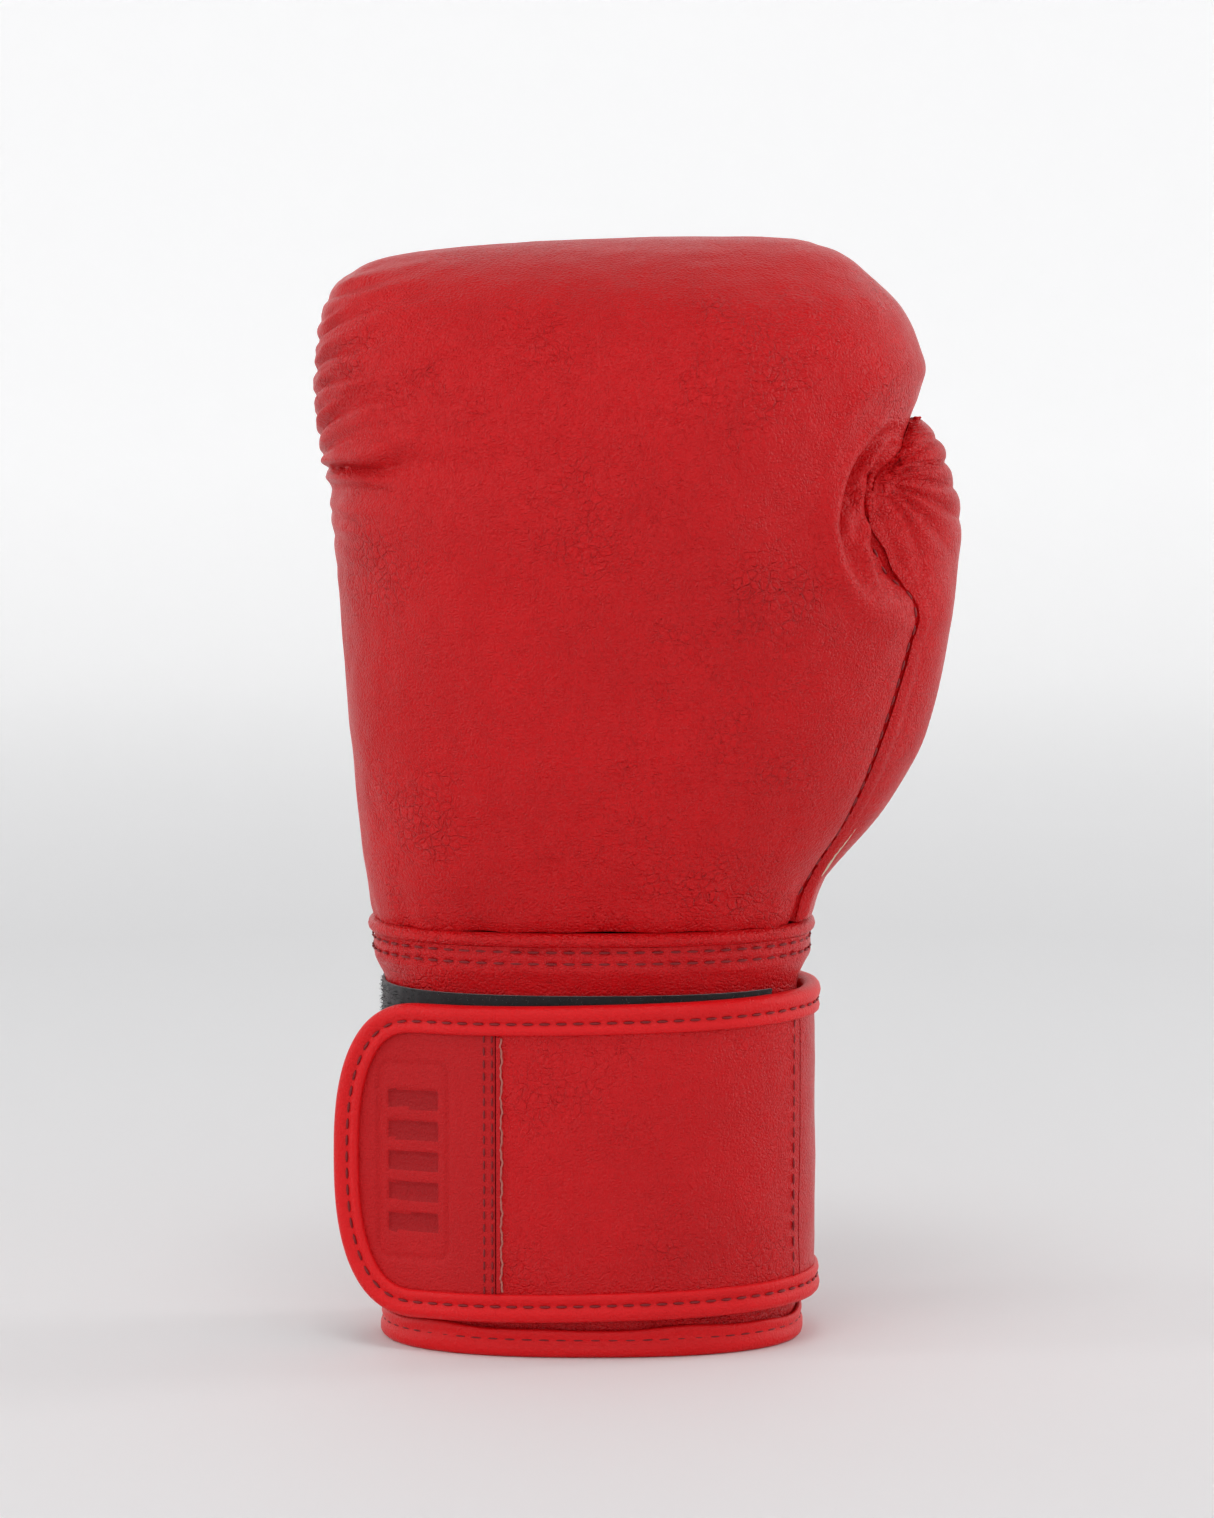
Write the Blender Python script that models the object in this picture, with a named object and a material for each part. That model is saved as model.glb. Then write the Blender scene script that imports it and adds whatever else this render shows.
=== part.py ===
"""Left-hand training boxing glove with a hook-and-loop wrist strap, as separate sewn pieces.

The glove stands on its cuff: +Z runs from the cuff to the fingertips, +X is the thumb side
and -Y is the back of the hand. Sizes in this file are in millimetres and go to metres once,
when a mesh is made.

The mitt and the cuff are layers between an outer skin and the hand pocket. Both surfaces
are drawn on one grid of columns (round the hand) and rows (up the hand), so every layer is
a band of depths along the same rays and neighbours never cross. The strap is drawn flat,
as run, height and lift, and then wrapped round the cuff.
"""

import math

import bmesh
import bpy
import numpy as np
from mathutils import Vector

MM = 0.001

# Overall sizes
GLOVE_HEIGHT = 300.0
MITT_WIDTH_SCALE = 1.0
MITT_DEPTH_SCALE = 1.0
CUFF_HEIGHT = 114.0
CUFF_HALF_WIDTH = 56.0
CUFF_HALF_DEPTH = 36.5
CUFF_CENTRE_X = -12.5
WRIST_FLARE = 2.0
WRIST_FLARE_HEIGHT = 14.0
POCKET_TOP = 258.0

# Material thicknesses and clearances
LEATHER = 1.3
LINING = 1.0
CUFF_PADDING = 6.4
THUMB_PADDING = 9.0
THUMB_LINING = 0.8
TAPE = 1.0
GAP = 0.3
SEAM_TRIM = 0.2
FOAM_SPLIT = 0.5
ELASTIC_DEPTH = 2.0
ELASTIC_THICKNESS = 2.0

# Grid of the mitt and the cuff
COLUMNS = 32
PALM_COLUMNS = range(0, COLUMNS // 2)
BACK_COLUMNS = range(COLUMNS // 2, COLUMNS)
ROUNDNESS = 2.4

# Rows of the mitt as shares of its height: the last one is the crown point
ROW_SHARES = (0.0, 0.05, 0.12, 0.20, 0.285, 0.37, 0.46, 0.545, 0.63, 0.715, 0.795, 0.87, 0.935, 0.98, 1.0)
CROWN = len(ROW_SHARES) - 1
GRIP_ROW = 4
TOP_SEAM_ROW = 12
THUMB_HOLE_COLUMNS = range(0, 3)
THUMB_HOLE_ROWS = range(1, 4)

# Outer skin of the mitt: share of height, then how far left, right, back and palm stand
# out beyond the wrist
SKIN_STATIONS = (
    (0.00, -0.5, -0.5, 0.0, -1.5),
    (0.12, 4.0, 7.5, 7.5, 1.5),
    (0.25, 6.5, 16.5, 15.5, 4.5),
    (0.40, 9.0, 24.5, 21.0, 9.5),
    (0.57, 12.0, 27.5, 23.5, 16.5),
    (0.72, 16.0, 29.5, 21.5, 20.5),
    (0.81, 16.3, 30.5, 16.5, 20.5),
    (0.90, 13.5, 26.5, 7.5, 15.5),
    (0.96, 3.5, 16.5, -5.5, 5.5),
    (0.99, -22.5, 4.5, -20.5, -8.5),
)
SKIN_CROWN = (8.0, 6.0)

# Hand pocket, in the same way. It starts inside the cuff's layers
CUFF_STACK = LEATHER + GAP + CUFF_PADDING + GAP + LINING
WRIST_WALL = CUFF_STACK + WRIST_FLARE
POCKET_STATIONS = (
    (0.00, -WRIST_WALL, -WRIST_WALL, -WRIST_WALL, -WRIST_WALL),
    (0.25, -13.5, -12.5, -12.5, -15.5),
    (0.57, -10.5, -14.5, -9.5, -13.5),
    (0.81, -13.5, -13.5, -12.5, -14.5),
    (0.92, -28.5, -19.5, -20.5, -21.5),
    (0.98, -50.5, -30.5, -30.5, -30.5),
)
POCKET_CROWN = (-2.0, 0.0)

# Thumb: it sits in a hollow on the thumb side of the mitt
THUMB_SEAT_DEPTH = 0.30
THUMB_SEAT_TURN = (-0.25, 0.45)
THUMB_SEAT_RISE = (0.0, 0.2)
THUMB_SEAT_FADE = (0.62, 0.85)
THUMB_COLUMNS = range(-1, 5)
THUMB_SPLIT_COLUMN = 2
THUMB_ROWS = range(0, 9)
THUMB_RISES = (
    (0.0, 4.0),
    (0.12, 17.0),
    (0.25, 25.0),
    (0.46, 30.0),
    (0.57, 31.0),
    (0.65, 26.0),
    (0.72, 8.0),
)
THUMB_EDGE = 4.0
LOCK_TAB_COLUMN = -2
LOCK_TAB_ROW = 7
LOCK_TAB_THICKNESS = 1.5

# Cuff
CUFF_STRAIGHT_ROWS = 3
GUSSET_COLUMNS = range(7, 10)
BINDING_THICKNESS = 1.0
BINDING_FLOOR = 1.2
BINDING_WIDTH = 8.0
WELT_RADIUS = 2.2
WELT_FLATNESS = 0.8
WELT_SIDES = 6
LOOP_PATCH_LOW = 13.0
LOOP_PATCH_HIGH = 99.0
LOOP_PATCH_COLUMNS = range(-17, -3)

# Strap: lift is the distance out from the cuff's skin
STRAP_LOW = 10.5
STRAP_HIGH = 96.0
STRAP_WALL = 0.7
STRAP_BACKING = 0.8
STRAP_LEATHER = 1.0
STRAP_BINDING_WIDTH = 7.7
STRAP_ROOT_ANGLE = 58.0
STRAP_CORNER_ANGLE = -24.0
STRAP_TAB_X = -37.0
STRAP_STRAIGHT_X = -50.0
STRAP_TIP_X = -80.0
TAB_ROUND_LENGTH = 26.0
TAB_ROUNDNESS = 2.5
TAB_TURNS = 22
TAB_PANEL_END_MARGIN = 0.3
TAB_HOOK_END_MARGIN = 1.3
ANCHOR_LENGTH = 16.0
HOOK_MARGIN = 3.0
RUN_STEP = 6.0
STRAP_BANDS = 4
STRAP_LEAD_ANGLE = 40.0
STRAP_PATH_STEP = 0.5

STRAP_INNER = GAP + TAPE + GAP
BACKING_LIFT = STRAP_INNER + STRAP_WALL + GAP
LEATHER_LIFT = BACKING_LIFT + STRAP_BACKING + GAP
OUTER_WALL_LIFT = LEATHER_LIFT + STRAP_LEATHER + GAP
STRAP_OUTER = OUTER_WALL_LIFT + STRAP_WALL

MITT_BASE = CUFF_HEIGHT + WELT_RADIUS
MITT_HEIGHT = GLOVE_HEIGHT - MITT_BASE
CUFF_LOW = BINDING_FLOOR + GAP
CUFF_TOP = CUFF_HEIGHT - WELT_RADIUS - GAP

COLOURS = {
    "red_leather": ((0.55, 0.012, 0.015, 1.0), 0.42),
    "cuff_leather": ((0.36, 0.010, 0.015, 1.0), 0.45),
    "binding": ((0.68, 0.018, 0.020, 1.0), 0.38),
    "patch": ((0.46, 0.020, 0.022, 1.0), 0.60),
    "foam": ((0.75, 0.72, 0.62, 1.0), 0.90),
    "lining": ((0.03, 0.03, 0.03, 1.0), 0.85),
    "loop": ((0.012, 0.012, 0.013, 1.0), 0.95),
    "elastic": ((0.02, 0.02, 0.02, 1.0), 0.80),
}


def clear_scene():
    """Start from an empty scene."""
    for item in list(bpy.data.objects):
        bpy.data.objects.remove(item)


def finish_material(finish):
    """One shared Principled material for each finish."""
    found = bpy.data.materials.get(finish)
    if found:
        return found
    colour, roughness = COLOURS[finish]
    material = bpy.data.materials.new(finish)
    material.use_nodes = True
    shader = material.node_tree.nodes["Principled BSDF"]
    shader.inputs["Base Color"].default_value = colour
    shader.inputs["Roughness"].default_value = roughness
    shader.inputs["Metallic"].default_value = 0.0
    return material


def make_piece(name, points, faces, finish):
    """A named object from points in millimetres and its faces."""
    mesh = bpy.data.meshes.new(name)
    mesh.from_pydata([tuple(MM * value for value in point) for point in points], [], faces)
    shape = bmesh.new()
    shape.from_mesh(mesh)
    bmesh.ops.remove_doubles(shape, verts=shape.verts, dist=1e-7)
    bmesh.ops.triangulate(shape, faces=[face for face in shape.faces if len(face.verts) > 4])
    shape.to_mesh(mesh)
    shape.free()
    mesh.shade_smooth()
    mesh.set_sharp_from_angle(angle=math.radians(50))
    mesh.materials.append(finish_material(finish))
    piece = bpy.data.objects.new(name, mesh)
    bpy.context.scene.collection.objects.link(piece)
    return piece


def smooth_between(stations, share):
    """The columns of a table read at a share of the height, with smooth steps."""
    table = np.array(stations)
    index = int(np.clip(np.searchsorted(table[:, 0], share) - 1, 0, len(table) - 2))
    before = table[max(index - 1, 0)]
    low, high = table[index], table[index + 1]
    after = table[min(index + 2, len(table) - 1)]
    span = high[0] - low[0]
    local = np.clip((share - low[0]) / span, 0.0, 1.0)
    slope_low = (high - before) / max(high[0] - before[0], 1e-9) * span
    slope_high = (after - low) / max(after[0] - low[0], 1e-9) * span
    square, cube = local * local, local * local * local
    blend = (
        (2 * cube - 3 * square + 1) * low
        + (cube - 2 * square + local) * slope_low
        + (-2 * cube + 3 * square) * high
        + (cube - square) * slope_high
    )
    return blend[1:]


def ramp(value, start, end):
    """0 before start, 1 after end, smooth between them."""
    local = np.clip((value - start) / (end - start), 0.0, 1.0)
    return local * local * (3 - 2 * local)


def column_angle(column):
    return 2 * math.pi * column / COLUMNS


def rounded(value):
    """The superellipse power of a sine or cosine."""
    return math.copysign(abs(value) ** (2 / ROUNDNESS), value)


def beyond_wrist(steps):
    """Left, right, back and palm edges that stand out beyond the wrist by four steps."""
    left, right, back, palm = steps
    half_width = CUFF_HALF_WIDTH + WRIST_FLARE
    half_depth = CUFF_HALF_DEPTH + WRIST_FLARE
    return (
        CUFF_CENTRE_X - half_width - left,
        CUFF_CENTRE_X + half_width + right,
        -half_depth - back,
        half_depth + palm,
    )


def section_point(angle, left, right, back, palm, seat=0.0):
    """A point of a level section, with a hollow of depth seat where the thumb lies."""
    centre_x, half_width = (left + right) / 2, (right - left) / 2
    centre_y, half_depth = (back + palm) / 2, (palm - back) / 2
    across = rounded(math.cos(angle))
    if across > 0:
        across *= 1 - seat * ramp(math.sin(angle), *THUMB_SEAT_TURN)
    return centre_x + half_width * across, centre_y + half_depth * rounded(math.sin(angle))


def skin_point(column, row):
    """A grid point of the mitt's outer skin."""
    share = ROW_SHARES[row]
    height = MITT_BASE + share * MITT_HEIGHT
    if row == CROWN:
        return np.array((SKIN_CROWN[0], SKIN_CROWN[1], height))
    left, right, back, palm = beyond_wrist(smooth_between(SKIN_STATIONS, share))
    seat = THUMB_SEAT_DEPTH * ramp(share, *THUMB_SEAT_RISE) * (1 - ramp(share, *THUMB_SEAT_FADE))
    widen = MITT_WIDTH_SCALE
    deepen = MITT_DEPTH_SCALE
    x, y = section_point(column_angle(column), left * widen, right * widen, back * deepen, palm * deepen, seat)
    return np.array((x, y, height))


def pocket_point(column, row):
    """The same grid point on the wall of the hand pocket."""
    share = ROW_SHARES[row]
    height = MITT_BASE + share * (POCKET_TOP - MITT_BASE)
    if row == CROWN:
        return np.array((POCKET_CROWN[0], POCKET_CROWN[1], height))
    x, y = section_point(column_angle(column), *beyond_wrist(smooth_between(POCKET_STATIONS, share)))
    return np.array((x, y, height))


def mitt_point(column, row, depth):
    """A point at a depth below the skin, on the ray to the pocket. Below 0 is outside."""
    skin = skin_point(column, row)
    ray = pocket_point(column, row) - skin
    return skin + ray / np.linalg.norm(ray) * depth


def mitt_wall(column, row):
    """How deep the whole stack of layers is at a grid point."""
    return float(np.linalg.norm(pocket_point(column, row) - skin_point(column, row)))


def cuff_skin(angle, height):
    """A point of the cuff's outer skin."""
    flare = WRIST_FLARE * ramp(height, CUFF_HEIGHT - WRIST_FLARE_HEIGHT, CUFF_HEIGHT)
    half_width = CUFF_HALF_WIDTH + flare
    half_depth = CUFF_HALF_DEPTH + flare
    x = CUFF_CENTRE_X + half_width * rounded(math.cos(angle))
    return np.array((x, half_depth * rounded(math.sin(angle)), height))


def cuff_outward(angle, height):
    """The level direction out of the cuff's skin."""
    step = 1e-3
    along = cuff_skin(angle + step, height) - cuff_skin(angle - step, height)
    return np.array((along[1], -along[0], 0.0)) / np.linalg.norm(along)


def cuff_point(angle, height, lift):
    """A point at a lift out from the cuff's skin. Below 0 is inside."""
    return cuff_skin(angle, height) + cuff_outward(angle, height) * lift


def layer(name, finish, cells, outer, inner, rows_top=None):
    """A closed band between two grids, over the named cells, with its cut edges trimmed."""
    cells = set(cells)
    points, faces, place = [], [], {}

    def corner_key(column, row):
        return ("crown",) if row == rows_top else (column % COLUMNS, row)

    around = {}
    for column, row in cells:
        for step_column in (0, 1):
            for step_row in (0, 1):
                key = corner_key(column + step_column, row + step_row)
                around.setdefault(key, []).append((column, row, column + step_column, row + step_row))

    def cell_corners(column, row):
        return ((column, row), (column + 1, row), (column + 1, row + 1), (column, row + 1))

    for surface in (0, 1):
        reader = outer if surface == 0 else inner
        for key, near in around.items():
            spot = np.array(reader(near[0][2], near[0][3]), float)
            if key[0] != "crown" and len(near) < 4:
                middles = []
                for column, row, _, _ in near:
                    middles.append(np.mean([reader(c, r) for c, r in cell_corners(column, row)], axis=0))
                pull = np.mean(middles, axis=0) - spot
                spot = spot + pull / np.linalg.norm(pull) * SEAM_TRIM * math.sqrt(2)
            place[(surface,) + key] = len(points)
            points.append(spot)

    def spot_index(surface, corner):
        return place[(surface,) + corner_key(*corner)]

    for column, row in cells:
        a, b, c, d = cell_corners(column, row)
        for surface in (0, 1):
            quad = [spot_index(surface, corner) for corner in (a, b, c, d)]
            triangles = [(quad[0], quad[1], quad[2]), (quad[0], quad[2], quad[3])]
            for triangle in triangles:
                if len(set(triangle)) == 3:
                    faces.append(triangle if surface == 0 else triangle[::-1])
        sides = (
            (a, b, (column, row - 1)),
            (b, c, (column + 1, row)),
            (c, d, (column, row + 1)),
            (d, a, (column - 1, row)),
        )
        for start, end, (next_column, next_row) in sides:
            if (next_column % COLUMNS, next_row) in cells or next_row == rows_top:
                continue
            low_end, high_end = spot_index(0, end), spot_index(1, end)
            low_start, high_start = spot_index(0, start), spot_index(1, start)
            if corner_key(*start) < corner_key(*end):
                faces.append((low_end, low_start, high_end))
                faces.append((low_start, high_start, high_end))
            else:
                faces.append((low_end, low_start, high_start))
                faces.append((low_end, high_start, high_end))
    return make_piece(name, points, faces, finish)


def grid_cells(columns, rows, without=()):
    """The cells of a block of columns and rows, less those left out."""
    left_out = {(column % COLUMNS, row) for column, row in without}
    return [(c % COLUMNS, r) for c in columns for r in rows if (c % COLUMNS, r) not in left_out]


def mitt_band(name, finish, cells, start, end):
    """A layer of the mitt between two depths, each a number or a rule of column and row."""
    def depth(rule, column, row):
        return rule(column, row) if callable(rule) else rule

    return layer(
        name,
        finish,
        cells,
        lambda column, row: mitt_point(column, row, depth(start, column, row)),
        lambda column, row: mitt_point(column, row, depth(end, column, row)),
        CROWN,
    )


def foam_start():
    return LEATHER + GAP


def foam_end(column, row):
    return mitt_wall(column, row) - LINING - GAP


def foam_middle(column, row):
    return foam_start() + (foam_end(column, row) - foam_start()) * FOAM_SPLIT


def thumb_hole():
    return [(column, row) for column in THUMB_HOLE_COLUMNS for row in THUMB_HOLE_ROWS]


def build_mitt():
    """Leather panels, the foam stack, the grip bar and the hand lining."""
    hole = thumb_hole()
    crown_cells = grid_cells(range(COLUMNS), range(TOP_SEAM_ROW, CROWN))
    back = grid_cells(BACK_COLUMNS, range(0, TOP_SEAM_ROW)) + crown_cells
    mitt_band("back_panel", "red_leather", back, 0.0, LEATHER)
    finger = grid_cells(PALM_COLUMNS, range(GRIP_ROW, TOP_SEAM_ROW))
    mitt_band("finger_panel", "red_leather", finger, 0.0, LEATHER)
    palm = grid_cells(PALM_COLUMNS, range(0, GRIP_ROW), hole)
    mitt_band("palm_panel", "red_leather", palm, 0.0, LEATHER)
    mitt_band("knuckle_foam_outer", "foam", back, foam_start(), lambda c, r: foam_middle(c, r) - GAP / 2)
    mitt_band("knuckle_foam_inner", "foam", back, lambda c, r: foam_middle(c, r) + GAP / 2, foam_end)
    mitt_band("palm_pad", "foam", palm, foam_start(), foam_end)
    mitt_band("grip_bar", "foam", grid_cells(PALM_COLUMNS, [GRIP_ROW]), foam_start(), foam_end)
    finger_pad = grid_cells(PALM_COLUMNS, range(GRIP_ROW + 1, TOP_SEAM_ROW))
    mitt_band("finger_foam", "foam", finger_pad, foam_start(), foam_end)
    sock = grid_cells(range(COLUMNS), range(0, CROWN), hole)
    mitt_band("hand_lining", "lining", sock, lambda c, r: mitt_wall(c, r) - LINING, mitt_wall)


def thumb_rise(column, row):
    """How far the thumb's skin stands out from the mitt's."""
    top = smooth_between(THUMB_RISES, ROW_SHARES[row])[0]
    first, last = THUMB_COLUMNS[0], THUMB_COLUMNS[-1] + 1
    middle, half = (first + last) / 2, (last - first) / 2
    signed = (column + COLUMNS / 2) % COLUMNS - COLUMNS / 2
    across = np.clip((signed - middle) / half, -1.0, 1.0)
    return THUMB_EDGE + max(top - THUMB_EDGE, 0.0) * math.sqrt(1 - across * across)


def thumb_point(column, row, lift):
    """A point at a level lift out from the mitt's skin."""
    step = 0.01
    along = skin_point(column + step, row) - skin_point(column - step, row)
    outward = np.array((along[1], -along[0], 0.0)) / math.hypot(along[0], along[1])
    return skin_point(column, row) + outward * lift


def build_thumb():
    """The thumb's two leather panels, its foam arch, its lining and the tab that locks it."""
    def depth_below(offset):
        return lambda column, row: thumb_point(column, row, thumb_rise(column, row) - offset)

    def foam_foot(column, row):
        reach = min(LEATHER + GAP + THUMB_PADDING, thumb_rise(column, row) - 2 * GAP)
        return thumb_point(column, row, thumb_rise(column, row) - reach)

    split = THUMB_COLUMNS[0] + THUMB_SPLIT_COLUMN + 1
    back_cells = grid_cells(range(THUMB_COLUMNS[0], split), THUMB_ROWS)
    palm_cells = grid_cells(range(split, THUMB_COLUMNS[-1] + 1), THUMB_ROWS)
    layer("thumb_back_panel", "red_leather", back_cells, depth_below(0.0), depth_below(LEATHER))
    layer("thumb_palm_panel", "red_leather", palm_cells, depth_below(0.0), depth_below(LEATHER))
    layer("thumb_foam", "foam", back_cells + palm_cells, depth_below(LEATHER + GAP), foam_foot)
    lining_depth = LEATHER + GAP + THUMB_PADDING + GAP
    room = lining_depth + THUMB_LINING + 2 * GAP
    lining_cells = []
    for column, row in back_cells + palm_cells:
        corners = [(column, row), (column + 1, row), (column + 1, row + 1), (column, row + 1)]
        if min(thumb_rise(*corner) for corner in corners) > room:
            lining_cells.append((column, row))
    layer(
        "thumb_lining",
        "lining",
        lining_cells,
        depth_below(lining_depth),
        depth_below(lining_depth + THUMB_LINING),
    )
    layer(
        "thumb_lock_tab",
        "red_leather",
        grid_cells([LOCK_TAB_COLUMN], [LOCK_TAB_ROW]),
        lambda column, row: thumb_point(column, row, GAP + LOCK_TAB_THICKNESS),
        lambda column, row: thumb_point(column, row, GAP),
    )


def cuff_band(name, finish, columns, start, end, low=CUFF_LOW, high=CUFF_TOP):
    """A layer of the cuff between two depths below its skin. Its top row is the wrist's flare."""
    straight_top = min(high, CUFF_HEIGHT - WRIST_FLARE_HEIGHT)
    heights = [low + (straight_top - low) * row / CUFF_STRAIGHT_ROWS for row in range(CUFF_STRAIGHT_ROWS + 1)]
    if high > straight_top:
        heights.append(high)

    def reader(depth):
        return lambda column, row: cuff_point(column_angle(column), heights[row], -depth)

    return layer(name, finish, grid_cells(columns, range(len(heights) - 1)), reader(start), reader(end))


def ring(name, finish, profile):
    """A closed ring round the cuff from a profile of (lift, height) points."""
    points, faces = [], []
    count = len(profile)
    for column in range(COLUMNS):
        for lift, height in profile:
            points.append(cuff_point(column_angle(column), height, lift))
    for column in range(COLUMNS):
        following = (column + 1) % COLUMNS
        for index in range(count):
            other = (index + 1) % count
            a, b = column * count + index, following * count + index
            c, d = following * count + other, column * count + other
            faces.append((a, b, c))
            faces.append((a, c, d))
    return make_piece(name, points, faces, finish)


def build_cuff():
    """Cuff leather, padding, lining, elastic gusset, bottom binding, wrist welt and loop patch."""
    cuff_columns = range(GUSSET_COLUMNS[-1] + 1, COLUMNS + GUSSET_COLUMNS[0])
    padding_start = LEATHER + GAP
    lining_start = padding_start + CUFF_PADDING + GAP
    cuff_band("cuff_leather", "cuff_leather", cuff_columns, 0.0, LEATHER)
    cuff_band("cuff_padding", "foam", cuff_columns, padding_start, padding_start + CUFF_PADDING)
    cuff_band("cuff_lining", "lining", range(COLUMNS), lining_start, lining_start + LINING)
    elastic_end = ELASTIC_DEPTH + ELASTIC_THICKNESS
    cuff_band("elastic_gusset", "elastic", GUSSET_COLUMNS, ELASTIC_DEPTH, elastic_end)
    cuff_band("loop_patch", "loop", LOOP_PATCH_COLUMNS, -GAP - TAPE, -GAP, LOOP_PATCH_LOW, LOOP_PATCH_HIGH)
    outer, inner = GAP + BINDING_THICKNESS, -CUFF_STACK - GAP - BINDING_THICKNESS
    ring(
        "cuff_binding",
        "binding",
        [
            (inner, 0.0),
            (outer, 0.0),
            (outer, BINDING_WIDTH),
            (GAP, BINDING_WIDTH),
            (GAP, BINDING_FLOOR),
            (-CUFF_STACK - GAP, BINDING_FLOOR),
            (-CUFF_STACK - GAP, BINDING_WIDTH),
            (inner, BINDING_WIDTH),
        ],
    )
    welt = []
    for side in range(WELT_SIDES):
        turn = 2 * math.pi * side / WELT_SIDES
        rise = WELT_RADIUS * WELT_FLATNESS * math.sin(turn)
        welt.append((-LEATHER / 2 + WELT_RADIUS * math.cos(turn), CUFF_HEIGHT + rise))
    ring("wrist_welt", "red_leather", welt)


class StrapPath:
    """The line that the strap follows round the cuff, seen from above, by run length."""

    def __init__(self):
        height = (STRAP_LOW + STRAP_HIGH) / 2
        angle = math.radians(STRAP_ROOT_ANGLE + STRAP_LEAD_ANGLE)
        step = math.radians(STRAP_PATH_STEP)
        spots = []
        while True:
            spot = cuff_skin(angle, height)[:2]
            spots.append(spot)
            if angle < -math.pi / 2 and spot[0] < STRAP_STRAIGHT_X:
                break
            angle -= step
        direction = spots[-1] - spots[-2]
        direction = direction / np.linalg.norm(direction)
        while spots[-1][0] > STRAP_TIP_X - RUN_STEP:
            spots.append(spots[-1] + direction)
        self.spots = np.array(spots)
        lengths = np.linalg.norm(np.diff(self.spots, axis=0), axis=1)
        self.runs = np.concatenate(([0.0], np.cumsum(lengths)))
        along = np.gradient(self.spots, axis=0)
        along = along / np.linalg.norm(along, axis=1)[:, None]
        self.outward = np.stack((-along[:, 1], along[:, 0]), axis=1)
        if np.dot(self.outward[0], self.spots[0] - np.array((CUFF_CENTRE_X, 0.0))) < 0:
            self.outward = -self.outward

    def place(self, run, height, lift):
        x, y = (np.interp(run, self.runs, self.spots[:, axis]) for axis in (0, 1))
        nx, ny = (np.interp(run, self.runs, self.outward[:, axis]) for axis in (0, 1))
        size = math.hypot(nx, ny)
        return np.array((x + nx / size * lift, y + ny / size * lift, height))

    def run_at_angle(self, degrees):
        spot = cuff_skin(math.radians(degrees), STRAP_LOW)[:2]
        return float(self.runs[np.argmin(np.linalg.norm(self.spots - spot, axis=1))])

    def run_at_x(self, x):
        front = np.where(self.spots[:, 1] < 0, np.abs(self.spots[:, 0] - x), 1e9)
        return float(self.runs[np.argmin(front)])


def run_steps(start, end):
    """Even steps along the strap, none longer than the run step."""
    count = max(2, math.ceil((end - start) / RUN_STEP))
    return [start + (end - start) * index / count for index in range(count + 1)]


def strap_slab(path, name, finish, start, end, low, high, lift, thickness, outline=None):
    """A flat piece of the strap between two runs, wrapped round the cuff."""
    runs = run_steps(start, end)
    bands = STRAP_BANDS
    points, faces = [], []
    for run in runs:
        bottom, top = (low, high) if outline is None else outline(run)
        for side in (lift, lift + thickness):
            for band in range(bands + 1):
                points.append(path.place(run, bottom + (top - bottom) * band / bands, side))
    stride = 2 * (bands + 1)
    for index in range(len(runs) - 1):
        here, there = index * stride, (index + 1) * stride
        for band in range(bands):
            inner = (here + band, here + band + 1, there + band + 1, there + band)
            outer = tuple(value + bands + 1 for value in inner)
            faces.append(inner)
            faces.append(outer[::-1])
        faces.append((here, there, there + bands + 1, here + bands + 1))
        faces.append((here + bands, here + 2 * bands + 1, there + 2 * bands + 1, there + bands))
    last = (len(runs) - 1) * stride
    for band in range(bands):
        faces.append((band, band + bands + 1, band + bands + 2, band + 1))
        faces.append((last + band, last + band + 1, last + band + bands + 2, last + band + bands + 1))
    return make_piece(name, points, faces, finish)


def channel_profile():
    """The folded binding's section: (inset from the edge, lift)."""
    low, high = STRAP_INNER, STRAP_OUTER
    return [
        (STRAP_BINDING_WIDTH, low),
        (0.0, low),
        (0.0, high),
        (STRAP_BINDING_WIDTH, high),
        (STRAP_BINDING_WIDTH, high - STRAP_WALL),
        (STRAP_WALL, high - STRAP_WALL),
        (STRAP_WALL, low + STRAP_WALL),
        (STRAP_BINDING_WIDTH, low + STRAP_WALL),
    ]


def strap_channel(path, name, edge):
    """A folded binding that follows an edge: a list of (run, height, inward run, inward height)."""
    profile = channel_profile()
    count = len(profile)
    points, faces = [], []
    for run, height, inward_run, inward_height in edge:
        for inset, lift in profile:
            points.append(path.place(run + inward_run * inset, height + inward_height * inset, lift))
    for index in range(len(edge) - 1):
        for side in range(count):
            other = (side + 1) % count
            a, b = index * count + side, (index + 1) * count + side
            c, d = (index + 1) * count + other, index * count + other
            faces.append((a, b, c))
            faces.append((a, c, d))
    last = (len(edge) - 1) * count
    caps = ((0, 1, 6, 7), (1, 2, 5, 6), (2, 3, 4, 5))
    for cap in caps:
        faces.append(tuple(cap))
        faces.append(tuple(last + value for value in reversed(cap)))
    return make_piece(name, points, faces, "binding")


def straight_edge(start, end, height, inward):
    return [(run, height, 0.0, inward) for run in run_steps(start, end)]


def tab_half_height(run, tip, inset):
    """Half the height of the rounded end tab at a run, for an outline moved inwards by inset."""
    half = (STRAP_HIGH - STRAP_LOW) / 2 - inset
    centre = tip - TAB_ROUND_LENGTH
    reach = TAB_ROUND_LENGTH - inset
    share = np.clip((run - centre) / reach, 0.0, 1.0)
    return half * (1 - share**TAB_ROUNDNESS) ** (1 / TAB_ROUNDNESS)


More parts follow.
